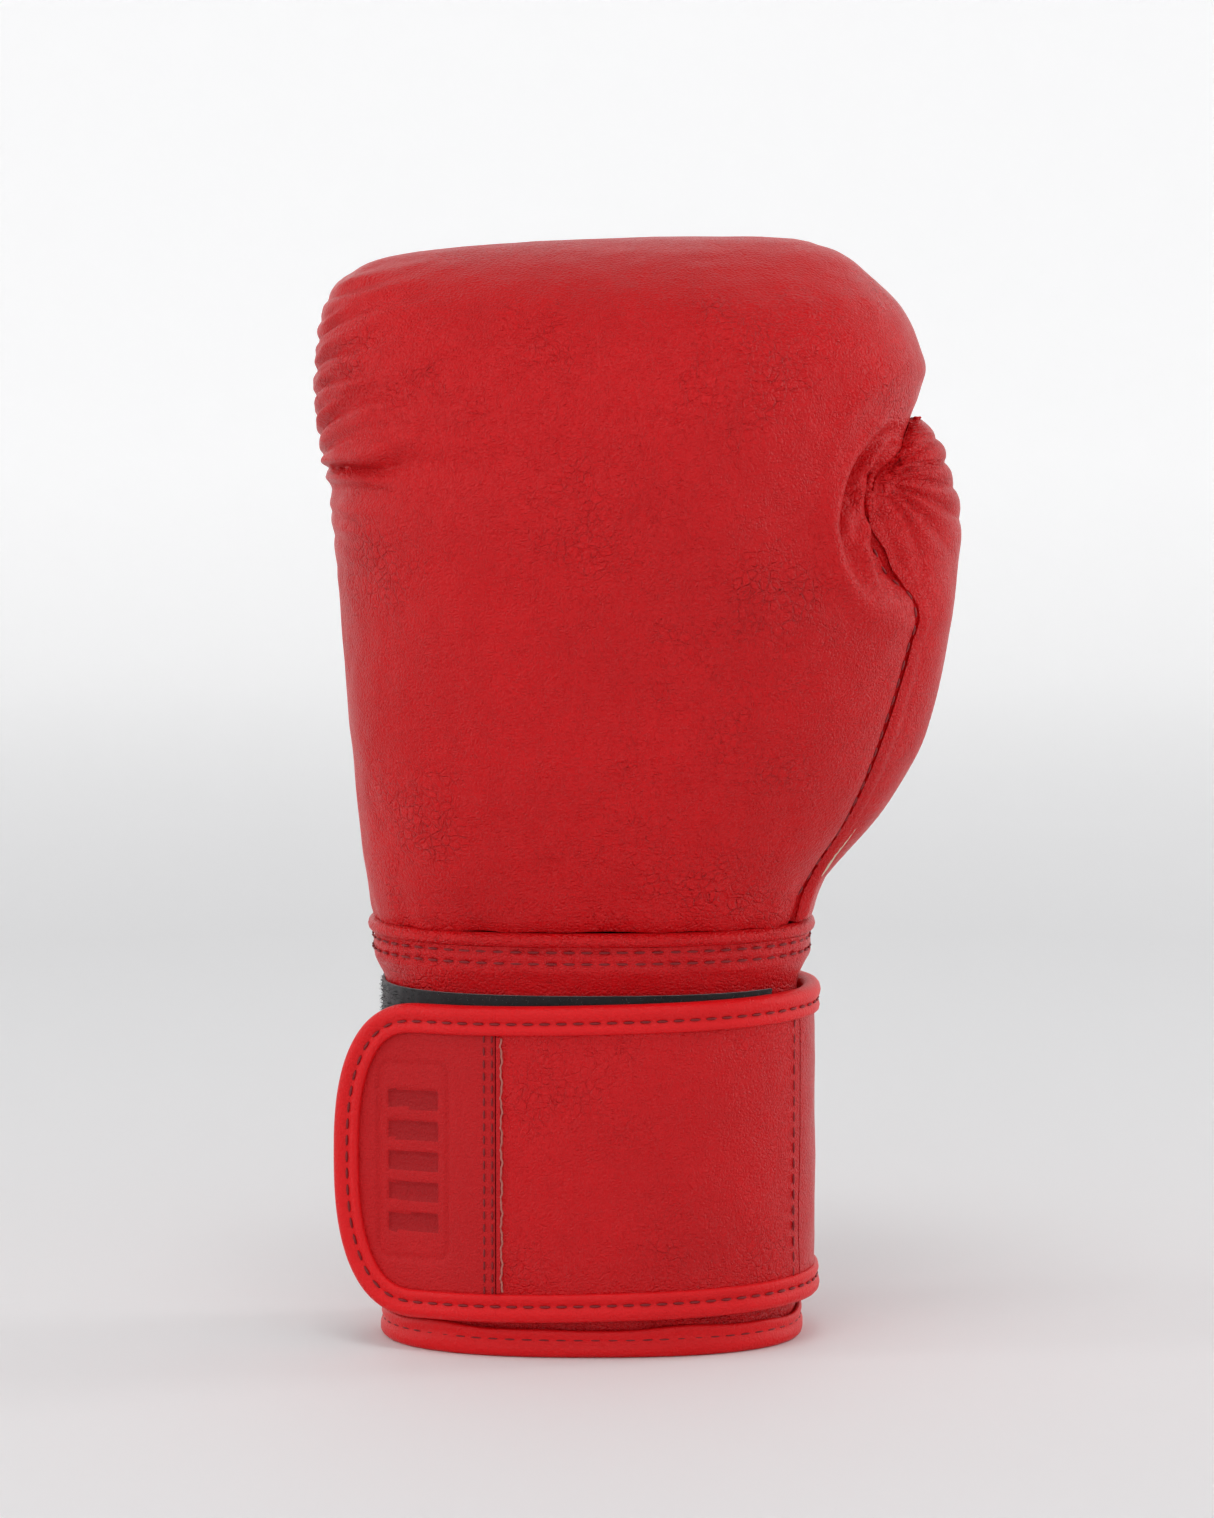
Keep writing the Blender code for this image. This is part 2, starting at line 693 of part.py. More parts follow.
def tab_edge(start, tip):
    """The rounded tab's edge from its top corner round the tip and back along the bottom."""
    middle = (STRAP_HIGH + STRAP_LOW) / 2
    half = (STRAP_HIGH - STRAP_LOW) / 2
    centre = tip - TAB_ROUND_LENGTH
    spots = [(run, half) for run in run_steps(start, centre)[:-1]]
    for turn in range(TAB_TURNS + 1):
        angle = math.pi / 2 - math.pi * turn / TAB_TURNS
        across = abs(math.cos(angle)) ** (2 / TAB_ROUNDNESS)
        up = math.copysign(abs(math.sin(angle)) ** (2 / TAB_ROUNDNESS), math.sin(angle))
        spots.append((centre + TAB_ROUND_LENGTH * across, half * up))
    spots += [(run, -half) for run in reversed(run_steps(start, centre)[:-1])]
    edge = []
    for index, (run, up) in enumerate(spots):
        before = spots[max(index - 1, 0)]
        after = spots[min(index + 1, len(spots) - 1)]
        along = Vector((after[0] - before[0], after[1] - before[1])).normalized()
        edge.append((run, middle + up, along.y, -along.x))
    return edge


def build_strap(path):
    """Anchor, side run, back run and end tab. Returns the pieces of each moving body."""
    low, high = STRAP_LOW, STRAP_HIGH
    inset = STRAP_WALL + GAP
    root = path.run_at_angle(STRAP_ROOT_ANGLE)
    corner = path.run_at_angle(STRAP_CORNER_ANGLE)
    fold = path.run_at_x(STRAP_TAB_X)
    tip = path.run_at_x(STRAP_TIP_X)
    half = GAP / 2
    anchor_lift = GAP
    strap_slab(
        path, "strap_anchor", "cuff_leather", root - ANCHOR_LENGTH, root - half,
        low + inset, high - inset, anchor_lift, LEATHER_LIFT + STRAP_LEATHER - anchor_lift,
    )
    bodies = {}
    for prefix, start, end in (("strap_side", root, corner), ("strap_back", corner, fold)):
        start, end = start + half, end - half
        panel = strap_slab(
            path, prefix + "_leather", "cuff_leather", start, end,
            low + inset, high - inset, LEATHER_LIFT, STRAP_LEATHER,
        )
        backing = strap_slab(
            path, prefix + "_backing", "lining", start, end,
            low + inset, high - inset, BACKING_LIFT, STRAP_BACKING,
        )
        upper = strap_channel(path, prefix + "_binding_top", straight_edge(start, end, high, -1.0))
        lower = strap_channel(
            path, prefix + "_binding_bottom", list(reversed(straight_edge(start, end, low, 1.0)))
        )
        bodies[prefix] = [panel, backing, upper, lower]
    hook_low = low + STRAP_BINDING_WIDTH + HOOK_MARGIN
    hook_high = high - STRAP_BINDING_WIDTH - HOOK_MARGIN
    hook_start = corner + STRAP_BINDING_WIDTH
    bodies["strap_back"].append(
        strap_slab(
            path, "strap_hook_tape", "loop", hook_start, fold - half,
            hook_low, hook_high, STRAP_INNER, STRAP_WALL,
        )
    )
    start = fold + half
    middle = (low + high) / 2

    def outline(margin):
        def read(run):
            reach = tab_half_height(run, tip, margin)
            return middle - reach, middle + reach
        return read

    panel_end = tip - inset - TAB_PANEL_END_MARGIN
    hook_inset = STRAP_BINDING_WIDTH + HOOK_MARGIN
    hook_end = tip - hook_inset - TAB_HOOK_END_MARGIN
    bodies["strap_tab"] = [
        strap_slab(
            path, "tab_leather", "patch", start, panel_end, low, high,
            LEATHER_LIFT, STRAP_LEATHER, outline(inset + GAP),
        ),
        strap_slab(
            path, "tab_backing", "lining", start, panel_end, low, high,
            BACKING_LIFT, STRAP_BACKING, outline(inset + GAP),
        ),
        strap_slab(
            path, "tab_hook_tape", "loop", start, hook_end, low, high,
            STRAP_INNER, STRAP_WALL, outline(hook_inset),
        ),
        strap_channel(path, "tab_binding", tab_edge(start, tip)),
    ]
    pivots = {
        "strap_side": path.place(root, middle, STRAP_OUTER),
        "strap_back": path.place(corner, middle, STRAP_OUTER),
        "strap_tab": path.place(fold, middle, STRAP_OUTER),
    }
    return bodies, pivots


def face_out():
    """Turn every closed piece so that its faces point outwards."""
    for piece in bpy.data.objects:
        if piece.type != "MESH":
            continue
        shape = bmesh.new()
        shape.from_mesh(piece.data)
        if shape.calc_volume(signed=True) < 0:
            bmesh.ops.reverse_faces(shape, faces=shape.faces)
        shape.to_mesh(piece.data)
        shape.free()


def glove_box():
    """The lowest and highest corners of all the pieces, in metres."""
    spots = []
    for piece in bpy.data.objects:
        if piece.type == "MESH":
            spots += [vertex.co[:] for vertex in piece.data.vertices]
    spots = np.array(spots)
    return spots.min(axis=0), spots.max(axis=0)


def settle(bodies, pivots):
    """Stand the glove with its box centred on the origin and hang the moving pieces on their hinges."""
    low, high = glove_box()
    shift = Vector((-(low[0] + high[0]) / 2, -(low[1] + high[1]) / 2, -low[2]))
    hung = {piece.name: body for body, pieces in bodies.items() for piece in pieces}
    hinges = {}
    parent = None
    for body in ("strap_side", "strap_back", "strap_tab"):
        hinge = bpy.data.objects.new(body + "_hinge", None)
        bpy.context.scene.collection.objects.link(hinge)
        spot = Vector([MM * value for value in pivots[body]]) + shift
        hinge.parent = parent
        hinge.location = spot - (hinges[parent.name] if parent else Vector((0.0, 0.0, 0.0)))
        hinges[hinge.name] = spot
        parent = hinge
        print("hinge", body, [round(value, 5) for value in spot])
    for piece in list(bpy.data.objects):
        if piece.type != "MESH":
            continue
        offset = shift.copy()
        body = hung.get(piece.name)
        if body:
            piece.parent = bpy.data.objects[body + "_hinge"]
            offset = shift - hinges[body + "_hinge"]
        for vertex in piece.data.vertices:
            vertex.co = vertex.co + offset
    print("shift", [round(value, 5) for value in shift])
    print("size", [round(float(value), 5) for value in high - low])


def main():
    clear_scene()
    build_mitt()
    build_thumb()
    build_cuff()
    path = StrapPath()
    bodies, pivots = build_strap(path)
    face_out()
    settle(bodies, pivots)
    print("pieces", len([item for item in bpy.data.objects if item.type == "MESH"]))


main()
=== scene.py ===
# %% [markdown]
# # A red training boxing glove, sewn piece by piece
#
# This lesson dresses a packed glove in leather. The frame already knows every piece, its
# size and how the strap swings. Here each soft piece gets its real shape, its seams and its
# finish. Lengths are in millimetres until a mesh is made, and then they go to metres once.

# %% The frame
import math

import bmesh
import bpy
import numpy as np
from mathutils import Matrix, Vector


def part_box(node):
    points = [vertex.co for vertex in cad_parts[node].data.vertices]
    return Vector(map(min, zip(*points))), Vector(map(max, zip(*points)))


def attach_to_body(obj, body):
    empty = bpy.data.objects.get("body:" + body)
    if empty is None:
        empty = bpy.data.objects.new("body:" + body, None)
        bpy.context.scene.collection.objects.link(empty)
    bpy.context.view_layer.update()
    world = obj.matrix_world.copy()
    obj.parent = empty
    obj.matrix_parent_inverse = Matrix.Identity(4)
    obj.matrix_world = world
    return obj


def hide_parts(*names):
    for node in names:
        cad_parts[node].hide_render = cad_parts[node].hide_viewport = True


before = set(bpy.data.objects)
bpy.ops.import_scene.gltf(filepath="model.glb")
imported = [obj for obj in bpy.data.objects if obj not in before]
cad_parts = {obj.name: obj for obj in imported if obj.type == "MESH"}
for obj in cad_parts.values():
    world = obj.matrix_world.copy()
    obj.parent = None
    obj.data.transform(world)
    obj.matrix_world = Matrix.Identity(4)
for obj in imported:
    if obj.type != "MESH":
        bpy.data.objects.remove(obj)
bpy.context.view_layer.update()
MM = 0.001

# %% [markdown]
# ## Where the glove stands
#
# All shapes below are drawn from one line: the middle of the cuff. The frame says where the
# cuff is, so the drawing is moved there once, and nothing is fitted by eye afterwards.

# %% The drawing's place in the frame
CUFF_CENTRE_X = -12.5
CUFF_HALF_WIDTH = 56.0
CUFF_HALF_DEPTH = 36.5
WRIST_HEIGHT = 114.0
binding_low, binding_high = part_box("cuff_binding")
SHIFT = np.array((
    (binding_low.x + binding_high.x) / 2 - MM * CUFF_CENTRE_X,
    (binding_low.y + binding_high.y) / 2,
    0.0,
))
GLOVE_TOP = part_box("back_panel")[1].z / MM
print("drawing moved by", [round(value / MM, 2) for value in SHIFT], "mm, top at", round(GLOVE_TOP, 1))

# %% Colours and nodes
def linear(code):
    """An sRGB hex colour as linear red, green, blue and alpha."""
    values = []
    for start in (0, 2, 4):
        value = int(code[start:start + 2], 16) / 255
        values.append(value / 12.92 if value <= 0.04045 else ((value + 0.055) / 1.055) ** 2.4)
    return (*values, 1.0)


def add_node(tree, kind, inputs=None, **properties):
    """One node with its properties, its fixed inputs and its links."""
    node = tree.nodes.new(kind)
    for key, value in properties.items():
        setattr(node, key, value)
    for key, value in (inputs or {}).items():
        if isinstance(value, bpy.types.NodeSocket):
            tree.links.new(value, node.inputs[key])
        else:
            node.inputs[key].default_value = value
    return node


def new_finish(name, colour, roughness, sheen=0.0, gloss=0.5):
    """A Principled material, its tree and its shader's inputs."""
    material = bpy.data.materials.new(name)
    material.use_nodes = True
    sockets = material.node_tree.nodes["Principled BSDF"].inputs
    sockets["Specular IOR Level"].default_value = gloss
    sockets["Base Color"].default_value = colour if isinstance(colour, tuple) else linear(colour)
    sockets["Roughness"].default_value = roughness
    sockets["Sheen Weight"].default_value = sheen
    return material, material.node_tree, sockets


def object_place(tree):
    """Where a point is on the object."""
    return add_node(tree, "ShaderNodeTexCoord").outputs["Object"]


def maths(tree, operation, *values):
    """One sum of numbers or links."""
    return add_node(tree, "ShaderNodeMath", dict(enumerate(values)), operation=operation).outputs[0]


def read_range(tree, value, low, high, to_low=0.0, to_high=1.0, smooth=False):
    """A value's place between two others, brought to a new range."""
    ends = {"Value": value, "From Min": low, "From Max": high, "To Min": to_low, "To Max": to_high}
    blend = "SMOOTHSTEP" if smooth else "LINEAR"
    return add_node(tree, "ShaderNodeMapRange", ends, interpolation_type=blend).outputs["Result"]


def noise(tree, place, scale, detail, roughness=0.5, output="Fac"):
    """Soft random patches, with a number of them to the metre."""
    given = {"Vector": place, "Scale": scale, "Detail": detail, "Roughness": roughness}
    return add_node(tree, "ShaderNodeTexNoise", given).outputs[output]


def cells(tree, place, scale, feature="F1"):
    """Distances in a net of cells, with a number of them to the metre."""
    given = {"Vector": place, "Scale": scale}
    return add_node(tree, "ShaderNodeTexVoronoi", given, feature=feature).outputs["Distance"]


def bump(tree, height, strength, distance, below=None):
    """A normal bent by a height, over another bend if there is one."""
    given = {"Height": height, "Strength": strength, "Distance": distance}
    if below is not None:
        given["Normal"] = below
    return add_node(tree, "ShaderNodeBump", given).outputs["Normal"]


def mixed(tree, part, first, second):
    """A colour between two others."""
    given = {0: part, 6: first, 7: second}
    return add_node(tree, "ShaderNodeMix", given, data_type="RGBA", clamp_factor=True).outputs[2]


print("node helpers ready")

# %% [markdown]
# ## The studio
#
# Pale paper lies under the glove and bends up into a wall on every side. The far paper
# glows, as if it had lamps of its own, so the glove can be seen against it from all round.
# A narrow soft light on each side and one above make the highlights that show the padding.
# The camera stands a metre and a half away with a long lens, so the glove keeps straight
# sides.

# %% Paper sweep
FLOOR_RADIUS, BEND_RADIUS, WALL_TOP = 1.9, 1.2, 4.0
SWEEP_SIDES, BEND_STEPS = 96, 12
GLOW_START, GLOW_FULL, GLOW = 0.8, 2.4, 0.32


def tube_faces(rings, sides, closed=False, turned=False):
    """Faces between rings of points that lie one after another."""
    faces = []
    for ring in range(rings if closed else rings - 1):
        a, b = ring * sides, (ring + 1) % rings * sides
        for side in range(sides):
            other = (side + 1) % sides
            face = (a + side, b + side, b + other, a + other)
            faces.append((face[0], face[3], face[2], face[1]) if turned else face)
    return faces


def paper_sweep():
    """A round floor that curves up into a backdrop on every side."""
    turns = [math.pi / 2 * step / BEND_STEPS for step in range(1, BEND_STEPS + 1)]
    profile = [(FLOOR_RADIUS, 0.0)]
    profile += [(FLOOR_RADIUS + BEND_RADIUS * math.sin(t), BEND_RADIUS * (1 - math.cos(t))) for t in turns]
    profile.append((FLOOR_RADIUS + BEND_RADIUS, WALL_TOP))
    around = [2 * math.pi * side / SWEEP_SIDES for side in range(SWEEP_SIDES)]
    points = [(0.0, 0.0, 0.0)]
    for radius, height in profile:
        points += [(radius * math.cos(turn), radius * math.sin(turn), height) for turn in around]
    faces = [(0, 1 + side, 1 + (side + 1) % SWEEP_SIDES) for side in range(SWEEP_SIDES)]
    faces += [tuple(1 + corner for corner in face) for face in tube_faces(len(profile), SWEEP_SIDES)]
    mesh = bpy.data.meshes.new("paper_sweep")
    mesh.from_pydata(points, [], faces)
    mesh.shade_smooth()
    sheet = bpy.data.objects.new("paper_sweep", mesh)
    bpy.context.scene.collection.objects.link(sheet)
    paper, tree, sockets = new_finish("white_background_paper", (0.86, 0.86, 0.865, 1.0), 0.75, gloss=0.2)
    middle_distance = add_node(tree, "ShaderNodeVectorMath", {0: object_place(tree)}, operation="LENGTH")
    glow = read_range(tree, middle_distance.outputs["Value"], GLOW_START, GLOW_FULL, 0.0, GLOW)
    tree.links.new(glow, sockets["Emission Strength"])
    sockets["Emission Color"].default_value = (1.0, 1.0, 1.0, 1.0)
    mesh.materials.append(paper)
    return sheet


paper_sweep()
print("paper sweep laid")

# %% Soft lights
def soft_light(name, place, aim, size, power):
    """A rectangular light that points from one place to another."""
    lamp = bpy.data.lights.new(name, "AREA")
    lamp.shape = "RECTANGLE"
    lamp.size, lamp.size_y = size
    lamp.energy = power
    holder = bpy.data.objects.new(name, lamp)
    holder.location = place
    holder.rotation_euler = (Vector(aim) - Vector(place)).to_track_quat("-Z", "Y").to_euler()
    bpy.context.scene.collection.objects.link(holder)
    return holder


SOFT_LIGHTS = (
    # name, place, aim, size, power
    ("left_softbox", (-1.45, -0.25, 0.65), (0.0, 0.0, 0.2), (0.30, 1.4), 3.6),
    ("right_softbox", (1.35, 0.30, 0.50), (0.03, 0.0, 0.2), (0.30, 1.4), 4.6),
    ("top_softbox", (-0.1, -0.60, 1.70), (0.0, 0.0, 0.2), (0.7, 0.5), 5.4),
    ("front_fill", (-0.7, -2.4, 1.3), (0.0, 0.0, 0.15), (1.0, 0.8), 1.4),
    ("paper_light", (0.0, 0.0, 3.4), (0.0, 0.0, 0.0), (3.4, 3.4), 4.0),
)
for light in SOFT_LIGHTS:
    soft_light(*light)
world = bpy.data.worlds.new("studio_air")
bpy.context.scene.world = world
world.use_nodes = True
world.node_tree.nodes["Background"].inputs["Color"].default_value = (1.0, 1.0, 1.0, 1.0)
world.node_tree.nodes["Background"].inputs["Strength"].default_value = 0.15
bpy.context.scene.view_settings.view_transform = "Standard"

# %% Camera
CAMERA_LENS, SENSOR_WIDTH = 131.5, 36.0
CAMERA_PLACE, CAMERA_AIM = (-0.0095, -1.5, 0.320), (-0.0095, 0.0, 0.1580)
camera_data = bpy.data.cameras.new("studio_camera")
camera_data.lens, camera_data.sensor_width = CAMERA_LENS, SENSOR_WIDTH
camera = bpy.data.objects.new("studio_camera", camera_data)
bpy.context.scene.collection.objects.link(camera)
camera.location = CAMERA_PLACE
camera.rotation_euler = (Vector(CAMERA_AIM) - camera.location).to_track_quat("-Z", "Y").to_euler()
bpy.context.scene.camera = camera
print("lens", camera_data.lens, "mm")

# %% [markdown]
# ## Finishes
#
# The glove is coated leather: a soft split hide with a thin coloured skin. The skin is what
# the eye sees. It is smooth and half glossy, and it creases into a fine net where it bends.
# A maker could paint that net, but here it is worked out from the leather's own scale, so
# that it has no seams and no repeats.

# %% Coated leather
LEATHER_GLOSS = 0.22


def coated_leather(name, colour, dark, roughness, crease=1.0, grain=1.0):
    """Smooth coated split leather: half gloss, a net of fine creases, and a soft pebble grain."""
    material, tree, sockets = new_finish(name, colour, roughness, gloss=LEATHER_GLOSS)
    place = object_place(tree)
    # The net's lines wander, because hide stretches unevenly under its coat.
    given = {0: noise(tree, place, 90.0, 3.0, output="Color"), 1: (0.006, 0.006, 0.006), 2: place}
    bent = add_node(tree, "ShaderNodeVectorMath", given, operation="MULTIPLY_ADD").outputs[0]
    # Creases stand about 2.5 mm apart, and a finer net of 1 mm lies between them.
    zone = noise(tree, place, 26.0, 4.0, 0.6)
    mask = read_range(tree, zone, 0.44, 0.70, smooth=True)
    wide, fine = (
        read_range(tree, cells(tree, bent, scale, "DISTANCE_TO_EDGE"), 0.0, width, smooth=True)
        for scale, width in ((400.0, 0.14), (950.0, 0.3))
    )
    creased = maths(tree, "MULTIPLY", wide, mask)
    net = bump(tree, maths(tree, "MULTIPLY_ADD", fine, 0.45, creased), crease, 0.00036)
    pebbles = bump(tree, noise(tree, place, 1500.0, 2.0, 0.6), grain, 0.00038, net)
    swell = bump(tree, noise(tree, place, 110.0, 2.0), 0.45 * crease, 0.0016, pebbles)
    tree.links.new(swell, sockets["Normal"])
    # The coat is a little darker in random patches, and the creases' bottoms get painted shade.
    tone = read_range(tree, noise(tree, place, 16.0, 5.0), 0.35, 0.7, 0.0, 0.55)
    # Painted shade: the crease net's lines take the darker colour, on top of the random tone.
    tone_and_crease_shade = maths(tree, "MULTIPLY_ADD", creased, -0.2, tone)
    tree.links.new(mixed(tree, tone_and_crease_shade, linear(colour), linear(dark)), sockets["Base Color"])
    shine = read_range(tree, zone, 0.3, 0.7, roughness - 0.05, roughness + 0.06)
    tree.links.new(shine, sockets["Roughness"])
    return material


# The mitt, the cuff and the strap are one kind of leather in two dye lots. The binding is
# the same leather split thin, and the tab's patch is pressed, which takes its shine.
MITT_LEATHER = coated_leather("red_coated_leather", "CE0A12", "B4060D", 0.31)
CUFF_LEATHER = coated_leather("deep_red_coated_leather", "CA0B13", "AC070E", 0.32, 0.8)
BINDING_LEATHER = coated_leather("bright_red_binding", "DC1218", "CB0C13", 0.38, 0.25, 0.6)
TAB_LEATHER = coated_leather("matte_embossed_leather", "C01117", "AE0B11", 0.50, 0.15, 1.2)
THREAD = new_finish("waxed_red_thread", "7E060E", 0.6)[0]
print("leathers", len([m for m in bpy.data.materials if "leather" in m.name]))

# %% Cloths
def woven(name, colour, spacing_mm, roughness, sheen, depth=0.00012):
    """A plain weave: two crossing waves of thread, spaced as the cloth's real threads."""
    material, tree, sockets = new_finish(name, colour, roughness, sheen)
    parts = add_node(tree, "ShaderNodeSeparateXYZ", {0: object_place(tree)}).outputs
    turns = 2 * math.pi / (spacing_mm * MM)
    ground = maths(tree, "ADD", parts["X"], parts["Y"])
    waves = [maths(tree, "SINE", maths(tree, "MULTIPLY", source, turns)) for source in (ground, parts["Z"])]
    cross = maths(tree, "MULTIPLY", *waves)
    tree.links.new(bump(tree, cross, 0.6, depth), sockets["Normal"])
    # Painted shade: where the crossing threads sink, the cloth is mixed towards a darker copy of its colour.
    deep = (*(0.55 * value for value in linear(colour)[:3]), 1.0)
    weave_shade = read_range(tree, cross, -1.0, 1.0)
    tree.links.new(mixed(tree, weave_shade, deep, linear(colour)), sockets["Base Color"])
    return material


# Polyester satin, knitted elastic and nylon web, all dyed black.
LINING_CLOTH = woven("black_satin_lining", "232326", 0.7, 0.5, 0.2)
ELASTIC_WEB = woven("ribbed_black_elastic", "1E1E20", 1.6, 0.7, 0.1, 0.0004)
BACKING_CLOTH = woven("black_nylon_backing", "1C1C1E", 0.9, 0.65, 0.1)
# The two faces of nylon hook-and-loop tape, and the bare hide where leather is cut.
LOOP_PILE = new_finish("black_loop_pile", "17171A", 0.95, sheen=0.35)[0]
HOOK_PLASTIC = new_finish("black_nylon_hooks", "121214", 0.5)[0]
RAW_EDGE = new_finish("raw_leather_edge", "B0665C", 0.8)[0]


def foam_finish():
    """Closed-cell foam: matte, pale, with small cells."""
    material, tree, sockets = new_finish("closed_cell_foam", "D9D2BC", 0.9)
    pits = cells(tree, object_place(tree), 900.0)
    tree.links.new(bump(tree, pits, 0.5, 0.0002), sockets["Normal"])
    return material


FOAM = foam_finish()
print("cloths and foam ready")

# %% [markdown]
# ## Helpers for surfaces
#
# Every padded piece is a grid of points: columns round the hand and rows up the hand. A grid
# is easy to crease, because each point knows how far it is from a seam. The grid is then cut
# into panels, and each panel gets the thickness of its leather.

# %% Grid helpers
def superoval(angle, roundness):
    """How far across and how far along a rounded rectangle is at an angle, from -1 to 1."""
    return [np.sign(v) * np.abs(v) ** (2 / roundness) for v in (np.cos(angle), np.sin(angle))]


def smooth_read(table, column, place):
    """One column of a table at many places, through its points with even slopes."""
    xs, ys = table[:, 0], table[:, column]
    slopes = np.gradient(ys, xs)
    index = np.clip(np.searchsorted(xs, place, side="right") - 1, 0, len(xs) - 2)
    span = xs[index + 1] - xs[index]
    part = np.clip((place - xs[index]) / span, 0.0, 1.0)
    square, cube = part**2, part**3
    return (
        (2 * cube - 3 * square + 1) * ys[index]
        + (cube - 2 * square + part) * slopes[index] * span
        + (3 * square - 2 * cube) * ys[index + 1]
        + (cube - square) * slopes[index + 1] * span
    )


def level_points(table, angle, share, roundness, seat=1.0):
    """Points on level rounded slices from a table of left, right, back and palm edges."""
    height, left, right, back, palm = (smooth_read(table, column, share) for column in range(1, 6))
    across, along = superoval(angle, roundness)
    x = (left + right) / 2 + (right - left) / 2 * across * seat
    y = (back + palm) / 2 + (palm - back) / 2 * along
    return np.stack((x, y, height + 0 * x), axis=-1)


def bell(gap, width):
    """1 at no distance, and down to nothing a few widths away."""
    return np.exp(-((gap / width) ** 2))


def ramp(value, start, end):
    """0 before start and 1 after end, smooth between them."""
    part = np.clip((value - start) / (end - start), 0.0, 1.0)
    return part * part * (3 - 2 * part)


def grid_normals(points):
    """Outward directions of a grid of points whose columns run left-handed round +Z."""
    across = np.gradient(points, axis=1)
    up = np.gradient(points, axis=0)
    normal = np.cross(across, up)
    return normal / np.maximum(np.linalg.norm(normal, axis=2, keepdims=True), 1e-9)


def round_normals(points):
    """Outward directions of a grid that closes round the hand and ends in a crown."""
    normal = grid_normals(np.concatenate((points[:, -1:], points, points[:, :1]), axis=1))[:, 1:-1]
    normal[-1] = (0.0, 0.0, 1.0)
    return normal


def to_frame(points):
    """Drawing millimetres to frame metres."""
    return np.asarray(points, float) * MM + SHIFT


def make_mesh(name, points, faces, material):
    """A piece at the origin with its place in its mesh."""
    mesh = bpy.data.meshes.new(name)
    mesh.from_pydata(to_frame(points).tolist(), [], faces)
    mesh.materials.append(material)
    piece = bpy.data.objects.new(name, mesh)
    bpy.context.scene.collection.objects.link(piece)
    return piece


def attach(piece, body, node=None):
    """Says which body a piece rides on and hides the plain node it replaces."""
    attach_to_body(piece, body)
    if node:
        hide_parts(node)
    return piece


SHARP_FOLD = 60.0


def weld_and_smooth(piece):
    """Joins the points that lie together and shades the faces smooth up to a sharp fold."""
    shape = bmesh.new()
    shape.from_mesh(piece.data)
    bmesh.ops.remove_doubles(shape, verts=shape.verts, dist=2e-6)
    shape.to_mesh(piece.data)
    shape.free()
    piece.data.shade_smooth()
    piece.data.set_sharp_from_angle(angle=math.radians(SHARP_FOLD))


def thick_panel(name, outer, inner, material, closed_round=False):
    """A closed sheet between two grids of the same size."""
    rows, columns = outer.shape[:2]
    count = rows * columns
    points = np.concatenate((outer.reshape(-1, 3), inner.reshape(-1, 3)))
    faces = []
    wraps = columns if closed_round else columns - 1
    for row in range(rows - 1):
        for column in range(wraps):
            after = (column + 1) % columns
            a, b = row * columns + column, row * columns + after
            c, d = a + columns, b + columns
            faces.append((a, b, d, c))
            faces.append((count + a, count + c, count + d, count + b))
    for column in range(wraps):
        after = (column + 1) % columns
        last = (rows - 1) * columns
        faces.append((column, count + column, count + after, after))
        faces.append((last + column, last + after, count + last + after, count + last + column))
    if not closed_round:
        for row in range(rows - 1):
            a, b = row * columns, (row + 1) * columns
            faces.append((a, b, count + b, count + a))
            a, b = a + columns - 1, b + columns - 1
            faces.append((a, count + a, count + b, b))
    piece = make_mesh(name, points, faces, material)
    weld_and_smooth(piece)
    return piece


print("helpers ready")

# %% [markdown]
# ## The mitt's skin
#
# The mitt is a fist of foam in leather. Level slices describe it well: each is a soft
# rectangle, wider than it is deep, and the slices are read from a short table of left,
# right, back and palm edges. Up at the knuckles the slices shrink to a crown that leans to
# the thumb side.

# %% Slices of the mitt
MITT_SLICES = np.array((
    # share, height, left, right, back, palm
    (0.000, 115.3, -71.6, 46.4, -39.6, 38.6),
    (0.050, 123.0, -72.8, 48.6, -42.5, 39.8),
    (0.110, 133.0, -74.2, 54.0, -46.0, 41.0),
    (0.170, 143.0, -75.4, 60.4, -49.0, 41.0),
    (0.230, 154.0, -76.6, 65.6, -52.0, 39.5),
    (0.300, 167.0, -78.0, 70.8, -55.0, 39.0),
    (0.370, 180.0, -79.2, 75.2, -57.5, 43.0),
    (0.430, 192.0, -80.0, 78.8, -59.5, 48.5),
    (0.490, 203.0, -80.8, 80.3, -61.0, 52.5),
    (0.550, 214.0, -81.8, 77.5, -61.8, 55.5),
    (0.610, 225.0, -83.0, 72.5, -62.0, 57.5),
    (0.670, 236.0, -84.6, 71.8, -61.5, 58.5),
    (0.730, 247.0, -86.6, 74.0, -60.0, 58.8),
    (0.790, 258.0, -87.2, 75.8, -57.2, 58.0),
    (0.845, 268.0, -86.6, 76.2, -53.0, 56.0),
    (0.890, 277.0, -85.3, 73.6, -47.3, 52.5),
    (0.925, 284.0, -83.0, 68.8, -40.8, 47.5),
    (0.950, 289.5, -78.0, 62.5, -33.5, 41.5),
    (0.970, 293.8, -66.0, 56.5, -25.5, 35.0),
    (0.985, 296.8, -42.0, 49.5, -16.5, 27.0),
    (0.995, 299.2, -6.0, 38.0, -5.0, 16.0),
    (1.000, 300.0, 21.0, 21.0, 5.0, 5.0),
))
MITT_SLICES[:, 1] *= 1 + (GLOVE_TOP / 300.0 - 1) * MITT_SLICES[:, 0]
SLICE_ROUNDNESS = 2.45
THUMB_SEAT = 0.30
THUMB_FRONT_ANGLE = -24.0


def slice_points(angle, share):
    """Points of the mitt's bare skin at angles round the hand and shares of its height."""
    depth = THUMB_SEAT * ramp(share, 0.0, 0.2) * (1 - ramp(share, 0.60, 0.80))
    seat = 1 - depth * ramp(np.sin(angle), -0.25, 0.45) * (np.cos(angle) > 0)
    return level_points(MITT_SLICES, angle, share, SLICE_ROUNDNESS, seat)


